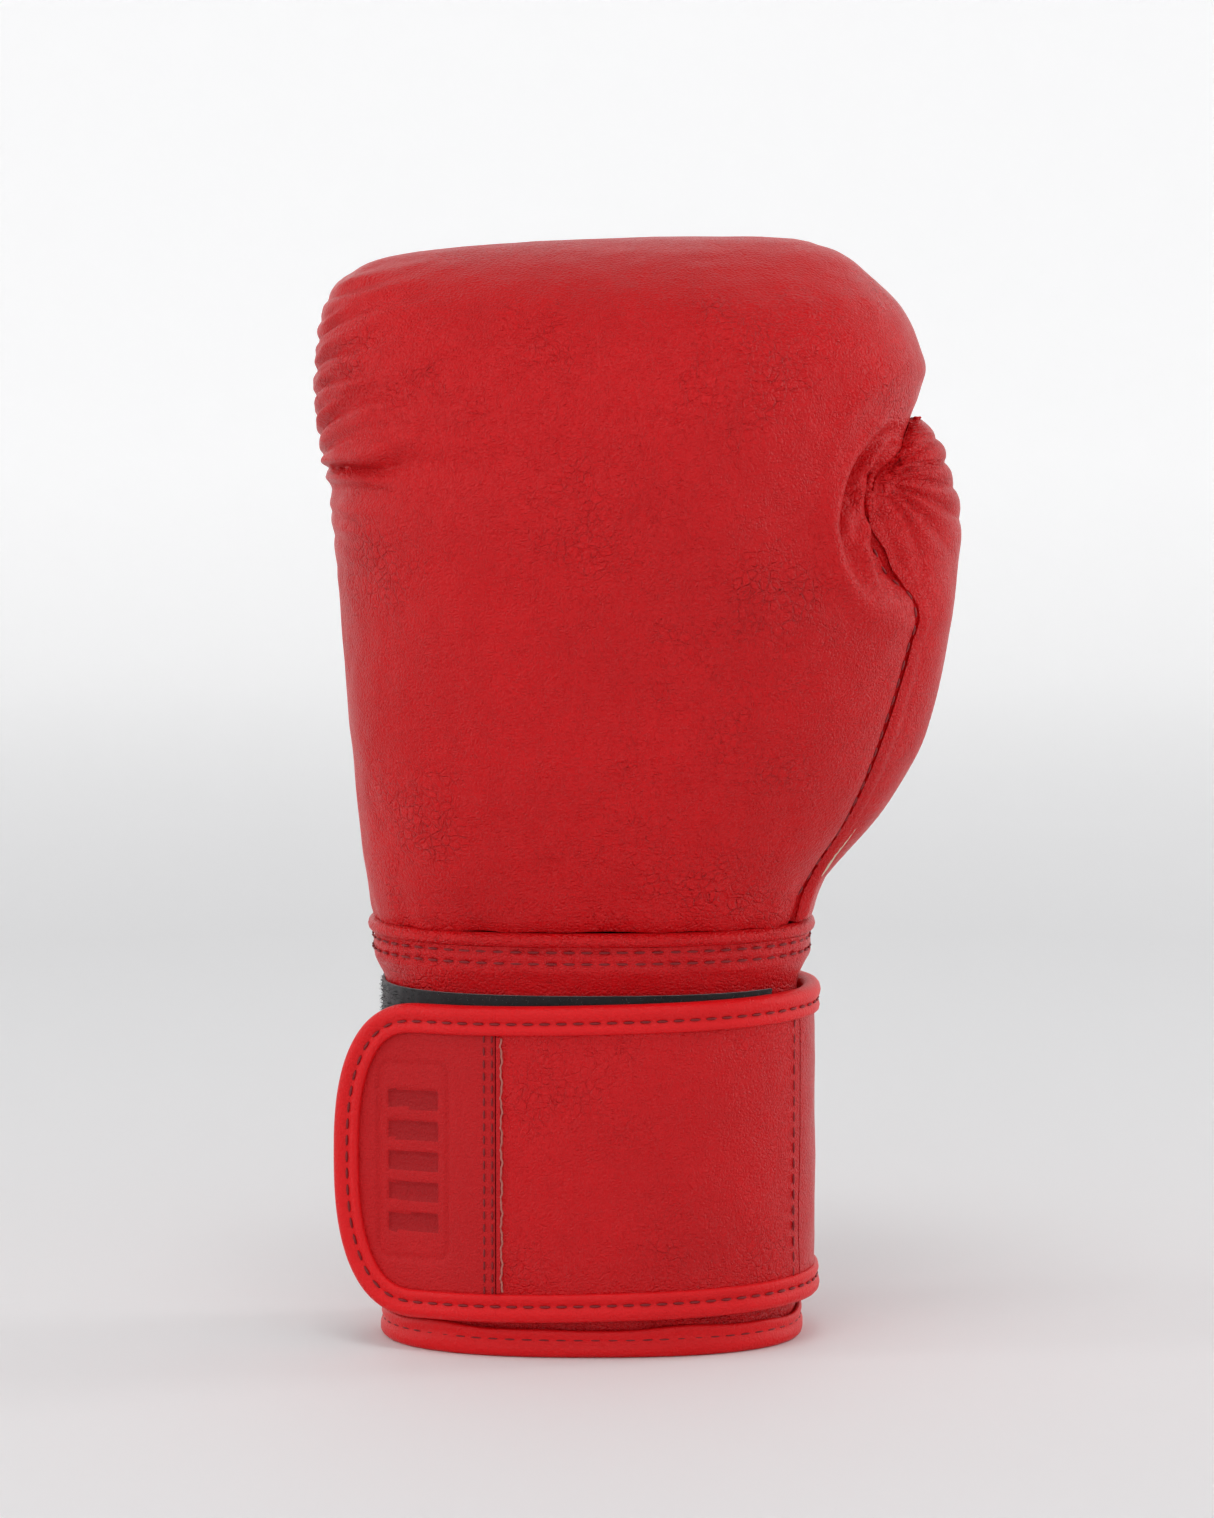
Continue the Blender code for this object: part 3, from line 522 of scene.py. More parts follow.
MITT_COLUMNS = 380
MITT_ROWS = 300
column_angles = np.linspace(0, 2 * math.pi, MITT_COLUMNS + 1)[:-1] - math.pi
row_shares = np.linspace(0, 1, MITT_ROWS + 1)
row_shares = row_shares + 0.045 * np.sin(2 * math.pi * row_shares) / (2 * math.pi)
angle_grid, share_grid = np.meshgrid(column_angles, row_shares)


def column_at(angle):
    """The grid's column nearest to an angle round the hand."""
    return np.round((angle + math.pi) / (2 * math.pi) * MITT_COLUMNS).astype(int) % MITT_COLUMNS


def row_at(share):
    """The grid's row at a share of the height."""
    return np.clip(np.searchsorted(row_shares, share), 0, MITT_ROWS)


bare = slice_points(angle_grid, share_grid)
print("mitt grid", bare.shape[:2])

# %% [markdown]
# ## Puckers, folds and seams
#
# Leather can't shrink, so where a flat panel is eased round a corner it gathers. Three
# places tell the story: the little-finger side, where puckers run in from the side seam; the
# hollow beside the thumb, where the mitt rolls over the lock tab; and the wrist, where
# the panel is gathered into the welt. Each is a height field laid over the smooth skin.

# %% Height fields
def seeded_waves(points, scale, seed, count=24):
    """Smooth, repeatable unevenness: a sum of waves in fixed random directions."""
    maker = np.random.default_rng(seed)
    total = np.zeros(points.shape[:-1])
    for _ in range(count):
        direction = maker.normal(size=3)
        direction *= maker.uniform(0.5, 1.5) * 2 * math.pi / scale / np.linalg.norm(direction)
        total += np.sin(points @ direction + maker.uniform(0, 2 * math.pi))
    return total / math.sqrt(count)


def distance_to_line(x, z, line):
    """How far points are from a bent line, and how far along it they are, from 0 to 1."""
    line = np.array(line, float)
    best = np.full(x.shape, 1e9)
    where = np.zeros(x.shape)
    lengths = np.linalg.norm(np.diff(line, axis=0), axis=1)
    total = lengths.sum()
    start = 0.0
    for first, second, length in zip(line[:-1], line[1:], lengths):
        step = (second - first) / length
        run = np.clip((x - first[0]) * step[0] + (z - first[1]) * step[1], 0.0, length)
        gap = np.hypot(x - first[0] - run * step[0], z - first[1] - run * step[1])
        nearer = gap < best
        best = np.where(nearer, gap, best)
        where = np.where(nearer, (start + run) / total, where)
        start += length
    return best, where


def fold(x, z, line, depth, width, lip=0.3):
    """A valley along a line with a raised lip beside it. It dies away at both ends."""
    gap, where = distance_to_line(x, z, line)
    fade = ramp(where, 0.0, 0.18) * (1 - ramp(where, 0.55, 1.0))
    valley = -depth * bell(gap, width)
    rise = lip * depth * bell(gap - 2.1 * width, width)
    return (valley + rise) * fade


def side_run(points, start_angle):
    """Distance round the skin from a seam at a column angle, row by row."""
    start = int(np.argmin(np.abs(column_angles - start_angle)))
    steps = np.linalg.norm(np.roll(points, -1, axis=1) - points, axis=2)
    forward = np.cumsum(np.roll(steps, -start, axis=1), axis=1)
    forward = np.concatenate((np.zeros((len(points), 1)), forward[:, :-1]), axis=1)
    total = steps.sum(axis=1, keepdims=True)
    return np.roll(np.minimum(forward, total - forward), start, axis=1), start


x_grid, y_grid, z_grid = bare[..., 0], bare[..., 1], bare[..., 2]
front_side = 1 - ramp(y_grid, -6.0, 14.0)
left_run, left_column = side_run(bare, -math.pi)
right_run, right_column = side_run(bare, math.radians(THUMB_FRONT_ANGLE))
print("left seam at column", left_column, "thumb seam at column", right_column)

# %% Little-finger side
SIDE_PUCKERS = (
    # height on the side, steep rise there, slope further in, reach, depth, width
    (289.0, 3.0, 0.20, 6.0, 0.6, 1.6),
    (282.0, 5.0, 0.20, 9.0, 1.4, 1.4),
    (277.0, 5.0, 0.20, 9.0, 0.9, 1.1),
    (272.0, 6.0, 0.30, 13.0, 2.0, 1.5),
    (262.7, 7.0, 0.30, 15.0, 2.2, 1.6),
    (256.0, 6.0, 0.25, 14.0, 1.8, 1.3),
    (250.6, 6.0, 0.30, 11.0, 1.2, 1.1),
    (245.4, 8.0, 0.35, 19.0, 2.4, 1.6),
    (241.0, 4.0, 0.30, 13.0, 1.3, 1.1),
    (236.6, 1.6, 0.10, 26.0, 3.6, 1.4),
    (231.5, 1.0, 0.16, 44.0, 2.2, 3.6),
    (226.0, -0.6, 0.00, 13.0, 1.2, 1.6),
    (219.5, -1.0, -0.04, 10.0, 0.8, 1.8),
    (211.0, -0.6, -0.05, 8.0, 0.5, 2.4),
)


def side_puckers():
    """Valleys that start on the glove's side, turn inwards over the back and widen as they run."""
    total = np.zeros(x_grid.shape)
    inward = x_grid - bare[:, left_column, 0][:, None]
    inward = inward * (1 + 0.12 * seeded_waves(bare, 30.0, 12))
    for height, rise, slope, reach, depth, width in SIDE_PUCKERS:
        path = height + rise * (1 - np.exp(-inward / 4.0)) + slope * inward
        gap = z_grid - path + 0.6 * np.sin(inward / 4.3 + height)
        spread = width * (0.8 + 0.035 * inward)
        fade = np.exp(-((inward / reach) ** 1.5)) * (0.42 + 0.58 * ramp(inward, 0.2, 3.2))
        total -= depth * fade * np.exp(-np.abs(gap / spread) ** 1.3)
        total += 0.4 * depth * fade * bell(np.abs(gap) - 1.8 * spread, spread)
    return total * (1 - 0.85 * ramp(y_grid, 0.0, 18.0))


side_height = side_puckers()
print("deepest side pucker", round(float(-side_height.min()), 2), "mm")

# %% Hollow beside the thumb
HOLLOW_CENTRE = (73.0, 231.0)
HOLLOW_REACH = (18.0, 26.0)
HOLLOW_DEPTH = 6.0


def thumb_hollow():
    """The mitt's roll ends in a C-shaped step, and the leather inside it is gathered."""
    across = (x_grid - HOLLOW_CENTRE[0]) / HOLLOW_REACH[0]
    up = (z_grid - HOLLOW_CENTRE[1]) / HOLLOW_REACH[1]
    radius = np.hypot(across, up)
    step = -HOLLOW_DEPTH * (1 - ramp(radius, 0.62, 1.12)) * (1 - 0.75 * ramp(z_grid, 234.0, 245.0))
    rim = 1.1 * bell(radius - 1.28, 0.16)
    inner_ridge = 1.5 * bell(radius - 0.62, 0.09) * ramp(-across, 0.1, 0.4)
    lines = (
        # depth, width, places along the line
        (4.2, 2.2, (72.0, 250.0), (66.0, 246.0), (61.0, 240.6), (56.8, 231.5),
         (55.2, 224.4), (56.6, 217.6), (60.3, 209.0), (64.0, 203.0)),
        (-1.7, 1.6, (65.0, 228.0), (61.8, 220.0), (62.8, 213.0), (66.0, 207.0)),
        (1.4, 1.3, (65.5, 226.0), (67.8, 218.0), (71.0, 211.0), (73.0, 204.0)),
        (1.0, 1.2, (67.0, 240.0), (61.0, 233.0), (59.0, 226.0)),
        (1.6, 1.2, (70.0, 246.0), (66.0, 240.0), (64.5, 236.0)),
    )
    folds = sum(fold(x_grid, z_grid, line, depth, width) for depth, width, *line in lines)
    return (step + rim + inner_ridge + folds) * front_side


hollow_height = thumb_hollow()
print("hollow", round(float(-hollow_height.min()), 2), "mm deep")

# %% Seams, wrist gathers and the grip fold
def seam_height():
    """Both side seams pull the skin in, and the thumb seam has a thin turned ridge."""
    left = -2.6 * bell(left_run, 2.6)
    right = -2.0 * bell(right_run, 2.0) * (1 - ramp(share_grid, 0.66, 0.72))
    return left + right


WRIST_RADIUS = 48.0


def wrist_gathers():
    """Small upright pleats where the panel is sewn into the welt."""
    near = 1 - ramp(z_grid, 115.0, 134.0)
    around = (angle_grid + math.pi) * WRIST_RADIUS
    pleats = np.sin(around / 3.1 + 2.0 * np.sin(around / 17.0)) + 0.6 * np.sin(around / 1.9 + 1.0)
    return 0.30 * pleats * near**1.5 - 0.5 * (1 - ramp(z_grid, 114.5, 119.5))


GRIP_HEIGHT = 167.0
FINGER_GAPS = ((-30.0, 1.1), (-8.0, 1.2), (14.0, 1.0))


def grip_fold():
    """On the palm side the curled fingers fold over the palm."""
    palm_side = ramp(y_grid, 8.0, 26.0)
    across = 1 - ramp(np.abs(x_grid + 6.0), 46.0, 70.0)
    sag = GRIP_HEIGHT + 0.0016 * (x_grid + 6.0) ** 2
    gap = z_grid - sag
    crease = -3.6 * np.exp(-np.abs(gap / 3.2) ** 1.4) - 2.4 * bell(gap, 11.0)
    rolls = np.zeros(gap.shape)
    above = ramp(gap, 2.0, 14.0) * (1 - ramp(gap, 30.0, 62.0))
    for centre, depth in FINGER_GAPS:
        rolls -= depth * bell(x_grid - centre, 4.5) * above
    return (crease * across + rolls) * palm_side


skin_height = side_height + hollow_height + seam_height() + wrist_gathers() + grip_fold()
skin_height += 0.42 * seeded_waves(bare, 46.0, 3) + 0.10 * seeded_waves(bare, 12.0, 5)
skin_height *= 1 - 0.7 * ramp(share_grid, 0.97, 1.0)
print("skin height from", round(float(skin_height.min()), 2), "to", round(float(skin_height.max()), 2))

# %% [markdown]
# ## Panels of the mitt
#
# The back panel runs from the wrist over the knuckles and down behind the fingertips. The
# finger panel lies under the curled fingers, and the palm panel closes the heel of the
# hand. They meet at seams, so each panel is its own sheet of 1.2 mm leather.

# %% Cutting the panels
SKIN_THICKNESS = 1.2
SEAM_GAP = 0.12
skin = bare + round_normals(bare) * skin_height[..., None]
skin[-1] = skin[-1].mean(axis=0)
# After the folds are laid, the directions are read again, so that the sheet is evenly thick.
skin_normals = round_normals(skin)
inner_skin = skin - skin_normals * SKIN_THICKNESS
BACK_END = int(column_at(0.0))
GRIP_ROW = int(np.argmin(np.abs(bare[:, 0, 2] - GRIP_HEIGHT)))
TOP_SEAM_HEIGHT = 287.0
TOP_SEAM_ROW = int(np.argmin(np.abs(bare[:, 0, 2] - TOP_SEAM_HEIGHT)))


def shrink_edges(grid, sides):
    """Moves a panel's cut edges in by the seam gap."""
    grid = grid.copy()
    for side in sides:
        edge, near = {
            "left": (np.s_[:, 0], np.s_[:, 1]), "right": (np.s_[:, -1], np.s_[:, -2]),
            "low": (np.s_[0], np.s_[1]), "high": (np.s_[-1], np.s_[-2]),
        }[side]
        step = grid[near] - grid[edge]
        grid[edge] += step / np.linalg.norm(step, axis=1, keepdims=True) * SEAM_GAP
    return grid


def mitt_panel(name, columns, rows, sides, node):
    """One leather panel cut from the skin."""
    picked = np.arange(*columns) % MITT_COLUMNS
    outer = shrink_edges(skin[rows[0]:rows[1]][:, picked], sides)
    inner = shrink_edges(inner_skin[rows[0]:rows[1]][:, picked], sides)
    piece = thick_panel(name, outer, inner, MITT_LEATHER)
    print(name, len(piece.data.polygons), "faces")
    return attach(piece, "glove", node)


palm_columns = (BACK_END, MITT_COLUMNS + 1)
mitt_panel("palm_skin", palm_columns, (0, GRIP_ROW + 1), ("left", "right", "high"), "palm_panel")
finger_rows = (GRIP_ROW, TOP_SEAM_ROW + 1)
mitt_panel("finger_skin", palm_columns, finger_rows, ("left", "right", "low", "high"), "finger_panel")


def grip_seam_tape():
    """The turned edges behind the grip seam, which close it from inside."""
    picked = np.arange(BACK_END + 2, MITT_COLUMNS - 1) % MITT_COLUMNS
    rows = slice(GRIP_ROW - 4, GRIP_ROW + 5)
    outer = (inner_skin - skin_normals * 0.25)[rows][:, picked]
    inner = outer - skin_normals[rows][:, picked] * 0.6
    return attach(thick_panel("grip_seam_tape", outer, inner, MITT_LEATHER), "glove")


grip_seam_tape()


def back_panel():
    """The back panel with the crown: the half below the top seam and the whole cap above it."""
    half = np.arange(BACK_END + 1)
    points = []
    for sheet in (skin, inner_skin):
        low = shrink_edges(sheet[: TOP_SEAM_ROW + 1][:, half], ("left", "right"))
        low[-1] = sheet[TOP_SEAM_ROW, half]
        points.append(low.reshape(-1, 3))
    points += [sheet[TOP_SEAM_ROW:].reshape(-1, 3) for sheet in (skin, inner_skin)]
    faces = []
    columns, rows = len(half), TOP_SEAM_ROW + 1
    count = columns * rows
    for row in range(rows - 1):
        for column in range(columns - 1):
            a = row * columns + column
            faces.append((a, a + 1, a + columns + 1, a + columns))
            faces.append((count + a, count + a + columns, count + a + columns + 1, count + a + 1))
        for column, turned in ((0, False), (columns - 1, True)):
            a, b = row * columns + column, (row + 1) * columns + column
            side = (a, b, count + b, count + a)
            faces.append(side[::-1] if turned else side)
    for column in range(columns - 1):
        faces.append((column, count + column, count + column + 1, column + 1))
    base, cap = 2 * count, len(points[-1])
    cap_rows = cap // MITT_COLUMNS
    for row in range(cap_rows - 1):
        for column in range(MITT_COLUMNS):
            after = (column + 1) % MITT_COLUMNS
            a, b = base + row * MITT_COLUMNS + column, base + row * MITT_COLUMNS + after
            c, d = a + MITT_COLUMNS, b + MITT_COLUMNS
            faces.append((a, b, d, c))
            faces.append((cap + a, cap + c, cap + d, cap + b))
    for column in range(BACK_END, MITT_COLUMNS):
        after = (column + 1) % MITT_COLUMNS
        a, b = base + column, base + after
        faces.append((a, cap + a, cap + b, b))
    piece = make_mesh("back_skin", np.concatenate(points), faces, MITT_LEATHER)
    weld_and_smooth(piece)
    return attach(piece, "glove", "back_panel")


print("back_skin", len(back_panel().data.polygons), "faces")

# %% [markdown]
# ## The foam inside
#
# Nobody sees the foam, but it is what the glove is for, so it is made too: two sheets over
# the knuckles, a pad for the heel of the palm, a roll to grip, and a pad behind the
# fingers. Each is a band between the leather and the lining, and keeps clear of both.

# %% Pocket and foam
POCKET_SLICES = np.array((
    # share, height, left, right, back, palm
    (0.00, 116.2, -59.2, 34.2, -27.2, 27.2),
    (0.25, 151.7, -57.0, 33.0, -26.0, 23.0),
    (0.57, 197.0, -60.0, 31.0, -29.0, 25.0),
    (0.81, 231.1, -57.0, 32.0, -26.0, 24.0),
    (0.92, 246.7, -42.0, 26.0, -18.0, 17.0),
    (0.98, 255.2, -20.0, 15.0, -8.0, 8.0),
    (1.00, 258.0, -2.0, -2.0, 0.0, 0.0),
))


POCKET_ROUNDNESS = 2.4


def pocket_points(angle, share):
    """Points on the wall of the hand pocket."""
    return level_points(POCKET_SLICES, angle, share, POCKET_ROUNDNESS)


FOAM_CLEAR = 0.6
FOLD_ROOM = 4.5


def foam_band(name, angles, shares, low, high, node):
    """A pad between two parts of the way from the skin to the pocket."""
    columns = np.radians(np.linspace(angles[0], angles[1], 40))
    rows = np.linspace(shares[0], shares[1], 26)
    angle, share = np.meshgrid(columns, rows)
    outside = inner_skin[row_at(share), column_at(angle)]
    way = pocket_points(angle, share) - outside
    length = np.linalg.norm(way, axis=2, keepdims=True)
    way = way / np.maximum(length, 1e-9)
    room = np.maximum(length - 2 * FOAM_CLEAR - 1.2, 1.0)
    outer = outside + way * (FOAM_CLEAR + FOLD_ROOM * (low == 0.0) + (room - FOLD_ROOM) * low)
    inner = outside + way * (FOAM_CLEAR + room * high)
    return attach(thick_panel(name, outer, inner, FOAM), "glove", node)


FOAM_BANDS = (
    # name, angles round the hand, shares of the height, part of the way in, plain node
    ("knuckle_foam_top_sheet", (-179.0, -1.0), (0.01, 0.985), 0.0, 0.48, "knuckle_foam_outer"),
    ("knuckle_foam_under_sheet", (-179.0, -1.0), (0.01, 0.985), 0.52, 1.0, "knuckle_foam_inner"),
    ("heel_pad", (34.0, 179.0), (0.01, 0.27), 0.0, 1.0, "palm_pad"),
    ("grip_roll", (1.0, 179.0), (0.285, 0.36), 0.0, 1.0, "grip_bar"),
    ("finger_pad", (1.0, 179.0), (0.37, 0.93), 0.0, 1.0, "finger_foam"),
)
for band in FOAM_BANDS:
    foam_band(*band)
print("foam pads", len(FOAM_BANDS))

# %% Hand lining
def hand_lining():
    """A satin sock with slack pleats, open at the wrist."""
    columns = np.linspace(-math.pi, math.pi, 121)[:-1]
    rows = np.linspace(0, 1, 81)
    angle, share = np.meshgrid(columns, rows)
    wall = pocket_points(angle, share)
    slack = 0.5 * np.sin(angle * 17 + 3 * np.sin(share * 9)) * np.sin(math.pi * share)
    middle = np.array((-13.0, -1.0, 0.0))
    direction = wall - np.array((0, 0, 1)) * wall[..., 2:] - middle
    direction = direction / np.maximum(np.linalg.norm(direction, axis=2, keepdims=True), 1e-6)
    outer = wall - direction * (0.3 + slack[..., None] * 0.4)
    inner = outer - direction * 0.8
    outer[-1] = outer[-1].mean(axis=0)
    inner[-1] = outer[-1] - np.array((0.0, 0.0, 0.8))
    piece = thick_panel("lining_sock", outer, inner, LINING_CLOTH, closed_round=True)
    return attach(piece, "glove", "hand_lining")


hand_lining()
print("lining sock sewn")

# %% [markdown]
# ## The thumb
#
# The thumb is a padded tube that lies in a hollow of the mitt and is tied to it by a tab. On
# level slices it is a half round that starts at one seam on the back of the mitt and ends at
# another on the palm side. Its outer edge is a smooth curve, and the leather fans out in
# pleats from the tab.

# %% Slices of the thumb
THUMB_SLICES = np.array((
    # height, outermost x, front seam angle, palm seam angle
    (116.2, 44.6, -24.0, 44.0),
    (121.5, 46.6, -24.0, 47.0),
    (128.6, 52.0, -24.0, 50.0),
    (135.0, 57.6, -24.0, 52.0),
    (148.0, 68.4, -24.0, 53.0),
    (160.0, 75.4, -24.0, 52.0),
    (174.0, 80.2, -24.0, 50.0),
    (198.0, 84.9, -24.0, 47.0),
    (212.0, 86.8, -24.0, 45.0),
    (222.0, 87.6, -23.5, 43.0),
    (231.0, 86.8, -22.5, 40.0),
    (238.0, 84.2, -20.0, 36.0),
    (243.5, 82.2, -16.0, 31.0),
    (247.0, 79.8, -11.0, 25.0),
    (250.4, 76.0, -5.0, 16.0),
))
THUMB_COLUMNS = 150
THUMB_ROWS = 200
THUMB_FULLNESS = 0.86


def share_at_height(height):
    """The share of the mitt's height whose slice is at a height."""
    shares = np.linspace(0, 1, 1200)
    return np.interp(height, smooth_read(MITT_SLICES, 1, shares), shares)


def mitt_outline(share, count=360):
    """One level outline of the mitt as radius by angle about its middle."""
    angle = np.linspace(-math.pi, math.pi, count)
    line = slice_points(angle, np.full(count, share))
    radius = np.linalg.norm(line[:, :2], axis=1) + skin_height[row_at(share), column_at(angle)]
    turn = np.arctan2(line[:, 1], line[:, 0])
    order = np.argsort(turn)
    return turn[order], radius[order]


def push_out(line, share, clear):
    """Points of one level curve, moved out until they clear the mitt's outline."""
    turns, radii = mitt_outline(share)
    own_radius = np.linalg.norm(line, axis=1)
    least = np.interp(np.arctan2(line[:, 1], line[:, 0]), turns, radii) + clear
    return line * (np.maximum(own_radius, least) / own_radius)[:, None]


def thumb_row(height, outermost, front_angle, palm_angle):
    """One level curve of the thumb, from its front seam to its palm seam."""
    share = float(share_at_height(height))
    ends = skin[row_at(share), column_at(np.radians([front_angle, palm_angle])), :2]
    middle, reach = ends.mean(axis=0), (ends[0] - ends[1]) / 2
    outward = np.array((-reach[1], reach[0])) / np.linalg.norm(reach)
    outward = outward if outward[0] > 0 else -outward
    turn = np.linspace(0, math.pi, THUMB_COLUMNS)
    along = np.sign(np.cos(turn)) * np.abs(np.cos(turn)) ** THUMB_FULLNESS
    bulge = np.abs(np.sin(turn)) ** THUMB_FULLNESS
    low, high = 0.0, 60.0
    for _ in range(24):
        rise = (low + high) / 2
        furthest = (middle[0] + reach[0] * along + outward[0] * rise * bulge).max()
        low, high = (rise, high) if furthest < outermost else (low, rise)
    line = middle + reach * along[:, None] + outward * (rise * bulge)[:, None]
    return np.concatenate((push_out(line, share, 0.5), np.full((THUMB_COLUMNS, 1), height)), axis=1)


def thumb_surface():
    """All the thumb's level curves."""
    part = np.linspace(0, 1, THUMB_ROWS)
    low, high = THUMB_SLICES[0, 0], THUMB_SLICES[-1, 0]
    heights = low + (high - low) * (1 - (1 - part) ** 1.35)
    rows = []
    for height in heights:
        read = [float(smooth_read(THUMB_SLICES, column, np.array(height))) for column in (1, 2, 3)]
        rows.append(thumb_row(height, *read))
    return np.array(rows)


thumb_bare = thumb_surface()
print("thumb reaches", round(float(thumb_bare[..., 0].max()), 1), "mm")

# %% Pleats of the thumb
PLEAT_CENTRE = (64.0, 234.0)
PLEATS = (
    # direction in degrees, depth, half width in mm
    (70.0, 0.9, 0.8),
    (46.0, 1.3, 0.9),
    (26.0, 1.7, 0.9),
    (8.0, 1.9, 1.0),
    (-9.0, 1.9, 0.9),
    (-26.0, 1.7, 1.0),
    (-46.0, 1.4, 1.1),
)


def thumb_pleats():
    """Valleys that fan out from the lock tab and die away down the thumb, with full ridges between."""
    x, y, z = (thumb_bare[..., axis] for axis in range(3))
    away_x, away_z = x - PLEAT_CENTRE[0], z - PLEAT_CENTRE[1]
    reach = np.hypot(away_x, away_z)
    turn = np.degrees(np.arctan2(away_z, away_x))
    total = np.zeros(x.shape)
    for direction, depth, width in PLEATS:
        bend = direction - 0.8 * np.clip(reach - 6.0, 0.0, 30.0)
        gap = np.radians(np.abs(turn - bend)) * reach
        total = np.minimum(total, -depth * np.exp(-((gap / (width * (1 + 0.03 * reach))) ** 1.2)))
    near = ramp(reach, 2.0, 6.0) * (1 - ramp(reach, 14.0, 34.0))
    return (total + 0.5) * near * (1 - ramp(y, 6.0, 30.0))


def thumb_height():
    """Pleats, the middle seam's dip, and slight unevenness."""
    column = np.linspace(0, 1, THUMB_COLUMNS)[None, :]
    seam = -1.3 * bell(column - THUMB_SEAM, 0.018)
    edge = -1.2 * bell(column, 0.03) - 1.2 * bell(1 - column, 0.03)
    edge = edge * (1 - 0.8 * ramp(thumb_bare[..., 2], 238.0, 249.0))
    return thumb_pleats() + seam + edge + 0.25 * seeded_waves(thumb_bare, 30.0, 8)


THUMB_SEAM = 0.62
thumb_normals = grid_normals(thumb_bare)
thumb_skin = thumb_bare + thumb_normals * thumb_height()[..., None]


def keep_outside(points, clear):
    """Pushes points out of the mitt's skin, level by level."""
    points = points.copy()
    for row in range(len(points)):
        share = float(share_at_height(float(points[row, :, 2].mean())))
        points[row, :, :2] = push_out(points[row, :, :2], share, clear)
    return points


thumb_skin = keep_outside(thumb_skin, 1.2)
thumb_inner = keep_outside(thumb_skin - grid_normals(thumb_skin) * 1.0, 0.2)
SEAM_COLUMN = int(THUMB_SEAM * (THUMB_COLUMNS - 1))
for name, columns, sides, node in (
    ("thumb_back_skin", slice(0, SEAM_COLUMN + 1), ("right",), "thumb_back_panel"),
    ("thumb_palm_skin", slice(SEAM_COLUMN, THUMB_COLUMNS), ("left",), "thumb_palm_panel"),
):
    outer, inner = (shrink_edges(sheet[:, columns], sides) for sheet in (thumb_skin, thumb_inner))
    attach(thick_panel(name, outer, inner, MITT_LEATHER), "glove", node)
print("thumb panels", thumb_skin.shape[:2])

# %% Inside the thumb
def thumb_inside(name, start, end, material, node):
    """A layer of the thumb between two depths below its skin."""
    part = np.s_[6:-24:4, 8:-8:4]
    picked, inward = thumb_skin[part], grid_normals(thumb_bare)[part]
    height = np.linalg.norm(picked[:, :, :2] - picked[:, :1, :2], axis=2, keepdims=True)
    room = np.clip(np.minimum(height, height[:, ::-1]) * 0.3, 0.0, 1.0)
    outer = keep_outside(picked - inward * start, 0.4)
    inner = keep_outside(picked - inward * (start + (end - start) * np.maximum(room, 0.2)), 0.2)
    return attach(thick_panel(name, outer, inner, material), "glove", node)


thumb_inside("thumb_pad", 1.8, 8.5, FOAM, "thumb_foam")
thumb_inside("thumb_sock", 9.0, 9.6, LINING_CLOTH, "thumb_lining")
print("thumb filled")

# %% [markdown]
# ## Cuff, welt and binding
#
# The cuff is a padded tube. Above it the mitt is sewn on with a rolled welt. Below, a strip
# of leather is folded over all the layers and stitched through. Both are one profile swept
# round the oval of the wrist.

# %% The wrist's oval
WRIST_FLARE = 3.6
CUFF_ROUNDNESS = 2.4
RING_STEPS = 300


def cuff_line(angle, height, lift):
    """Points at a lift out from the cuff's skin."""
    angle, height, lift = np.broadcast_arrays(*(np.asarray(v, float) for v in (angle, height, lift)))
    flare = WRIST_FLARE * ramp(height, 97.0, 107.0)
    wide, deep = CUFF_HALF_WIDTH + flare, CUFF_HALF_DEPTH + flare

    def spot(turn):
        across, along = superoval(turn, CUFF_ROUNDNESS)
        return CUFF_CENTRE_X + wide * across, deep * along

    x, y = spot(angle)
    ahead, behind = spot(angle + 0.01), spot(angle - 0.01)
    out_x, out_y = ahead[1] - behind[1], behind[0] - ahead[0]
    size = np.hypot(out_x, out_y)
    return np.stack((x + out_x / size * lift, y + out_y / size * lift, height), axis=-1)


def swept_ring(name, profile, material, node, wobble=None):
    """A closed ring round the wrist from a profile of (lift, height)."""
    angles = np.linspace(-math.pi, math.pi, RING_STEPS + 1)[:-1]
    lifts, heights = (np.repeat(row[None, :], RING_STEPS, axis=0) for row in np.array(profile, float).T)
    if wobble is not None:
        heights = heights + wobble(angles)[:, None] * (heights > 1.0)
    grid = cuff_line(angles[:, None], heights, lifts)
    faces = tube_faces(RING_STEPS, len(profile), closed=True)
    piece = make_mesh(name, grid.reshape(-1, 3), faces, material)
    piece.data.shade_smooth()
    return attach(piece, "glove", node)


def gentle_wave(angles):
    """The binding's edge wanders a little, as hand-guided stitching does."""
    return 0.45 * np.sin(5 * angles + 0.6) + 0.25 * np.sin(11 * angles + 2.0)


WELT_SIDES, WELT_HEIGHT = 14, 113.4
welt_turns = [2 * math.pi * step / WELT_SIDES for step in range(WELT_SIDES)]
welt_profile = [(-0.9 + 2.3 * math.cos(turn), WELT_HEIGHT + 2.0 * math.sin(turn)) for turn in welt_turns]
swept_ring("rolled_welt", welt_profile, MITT_LEATHER, "wrist_welt")

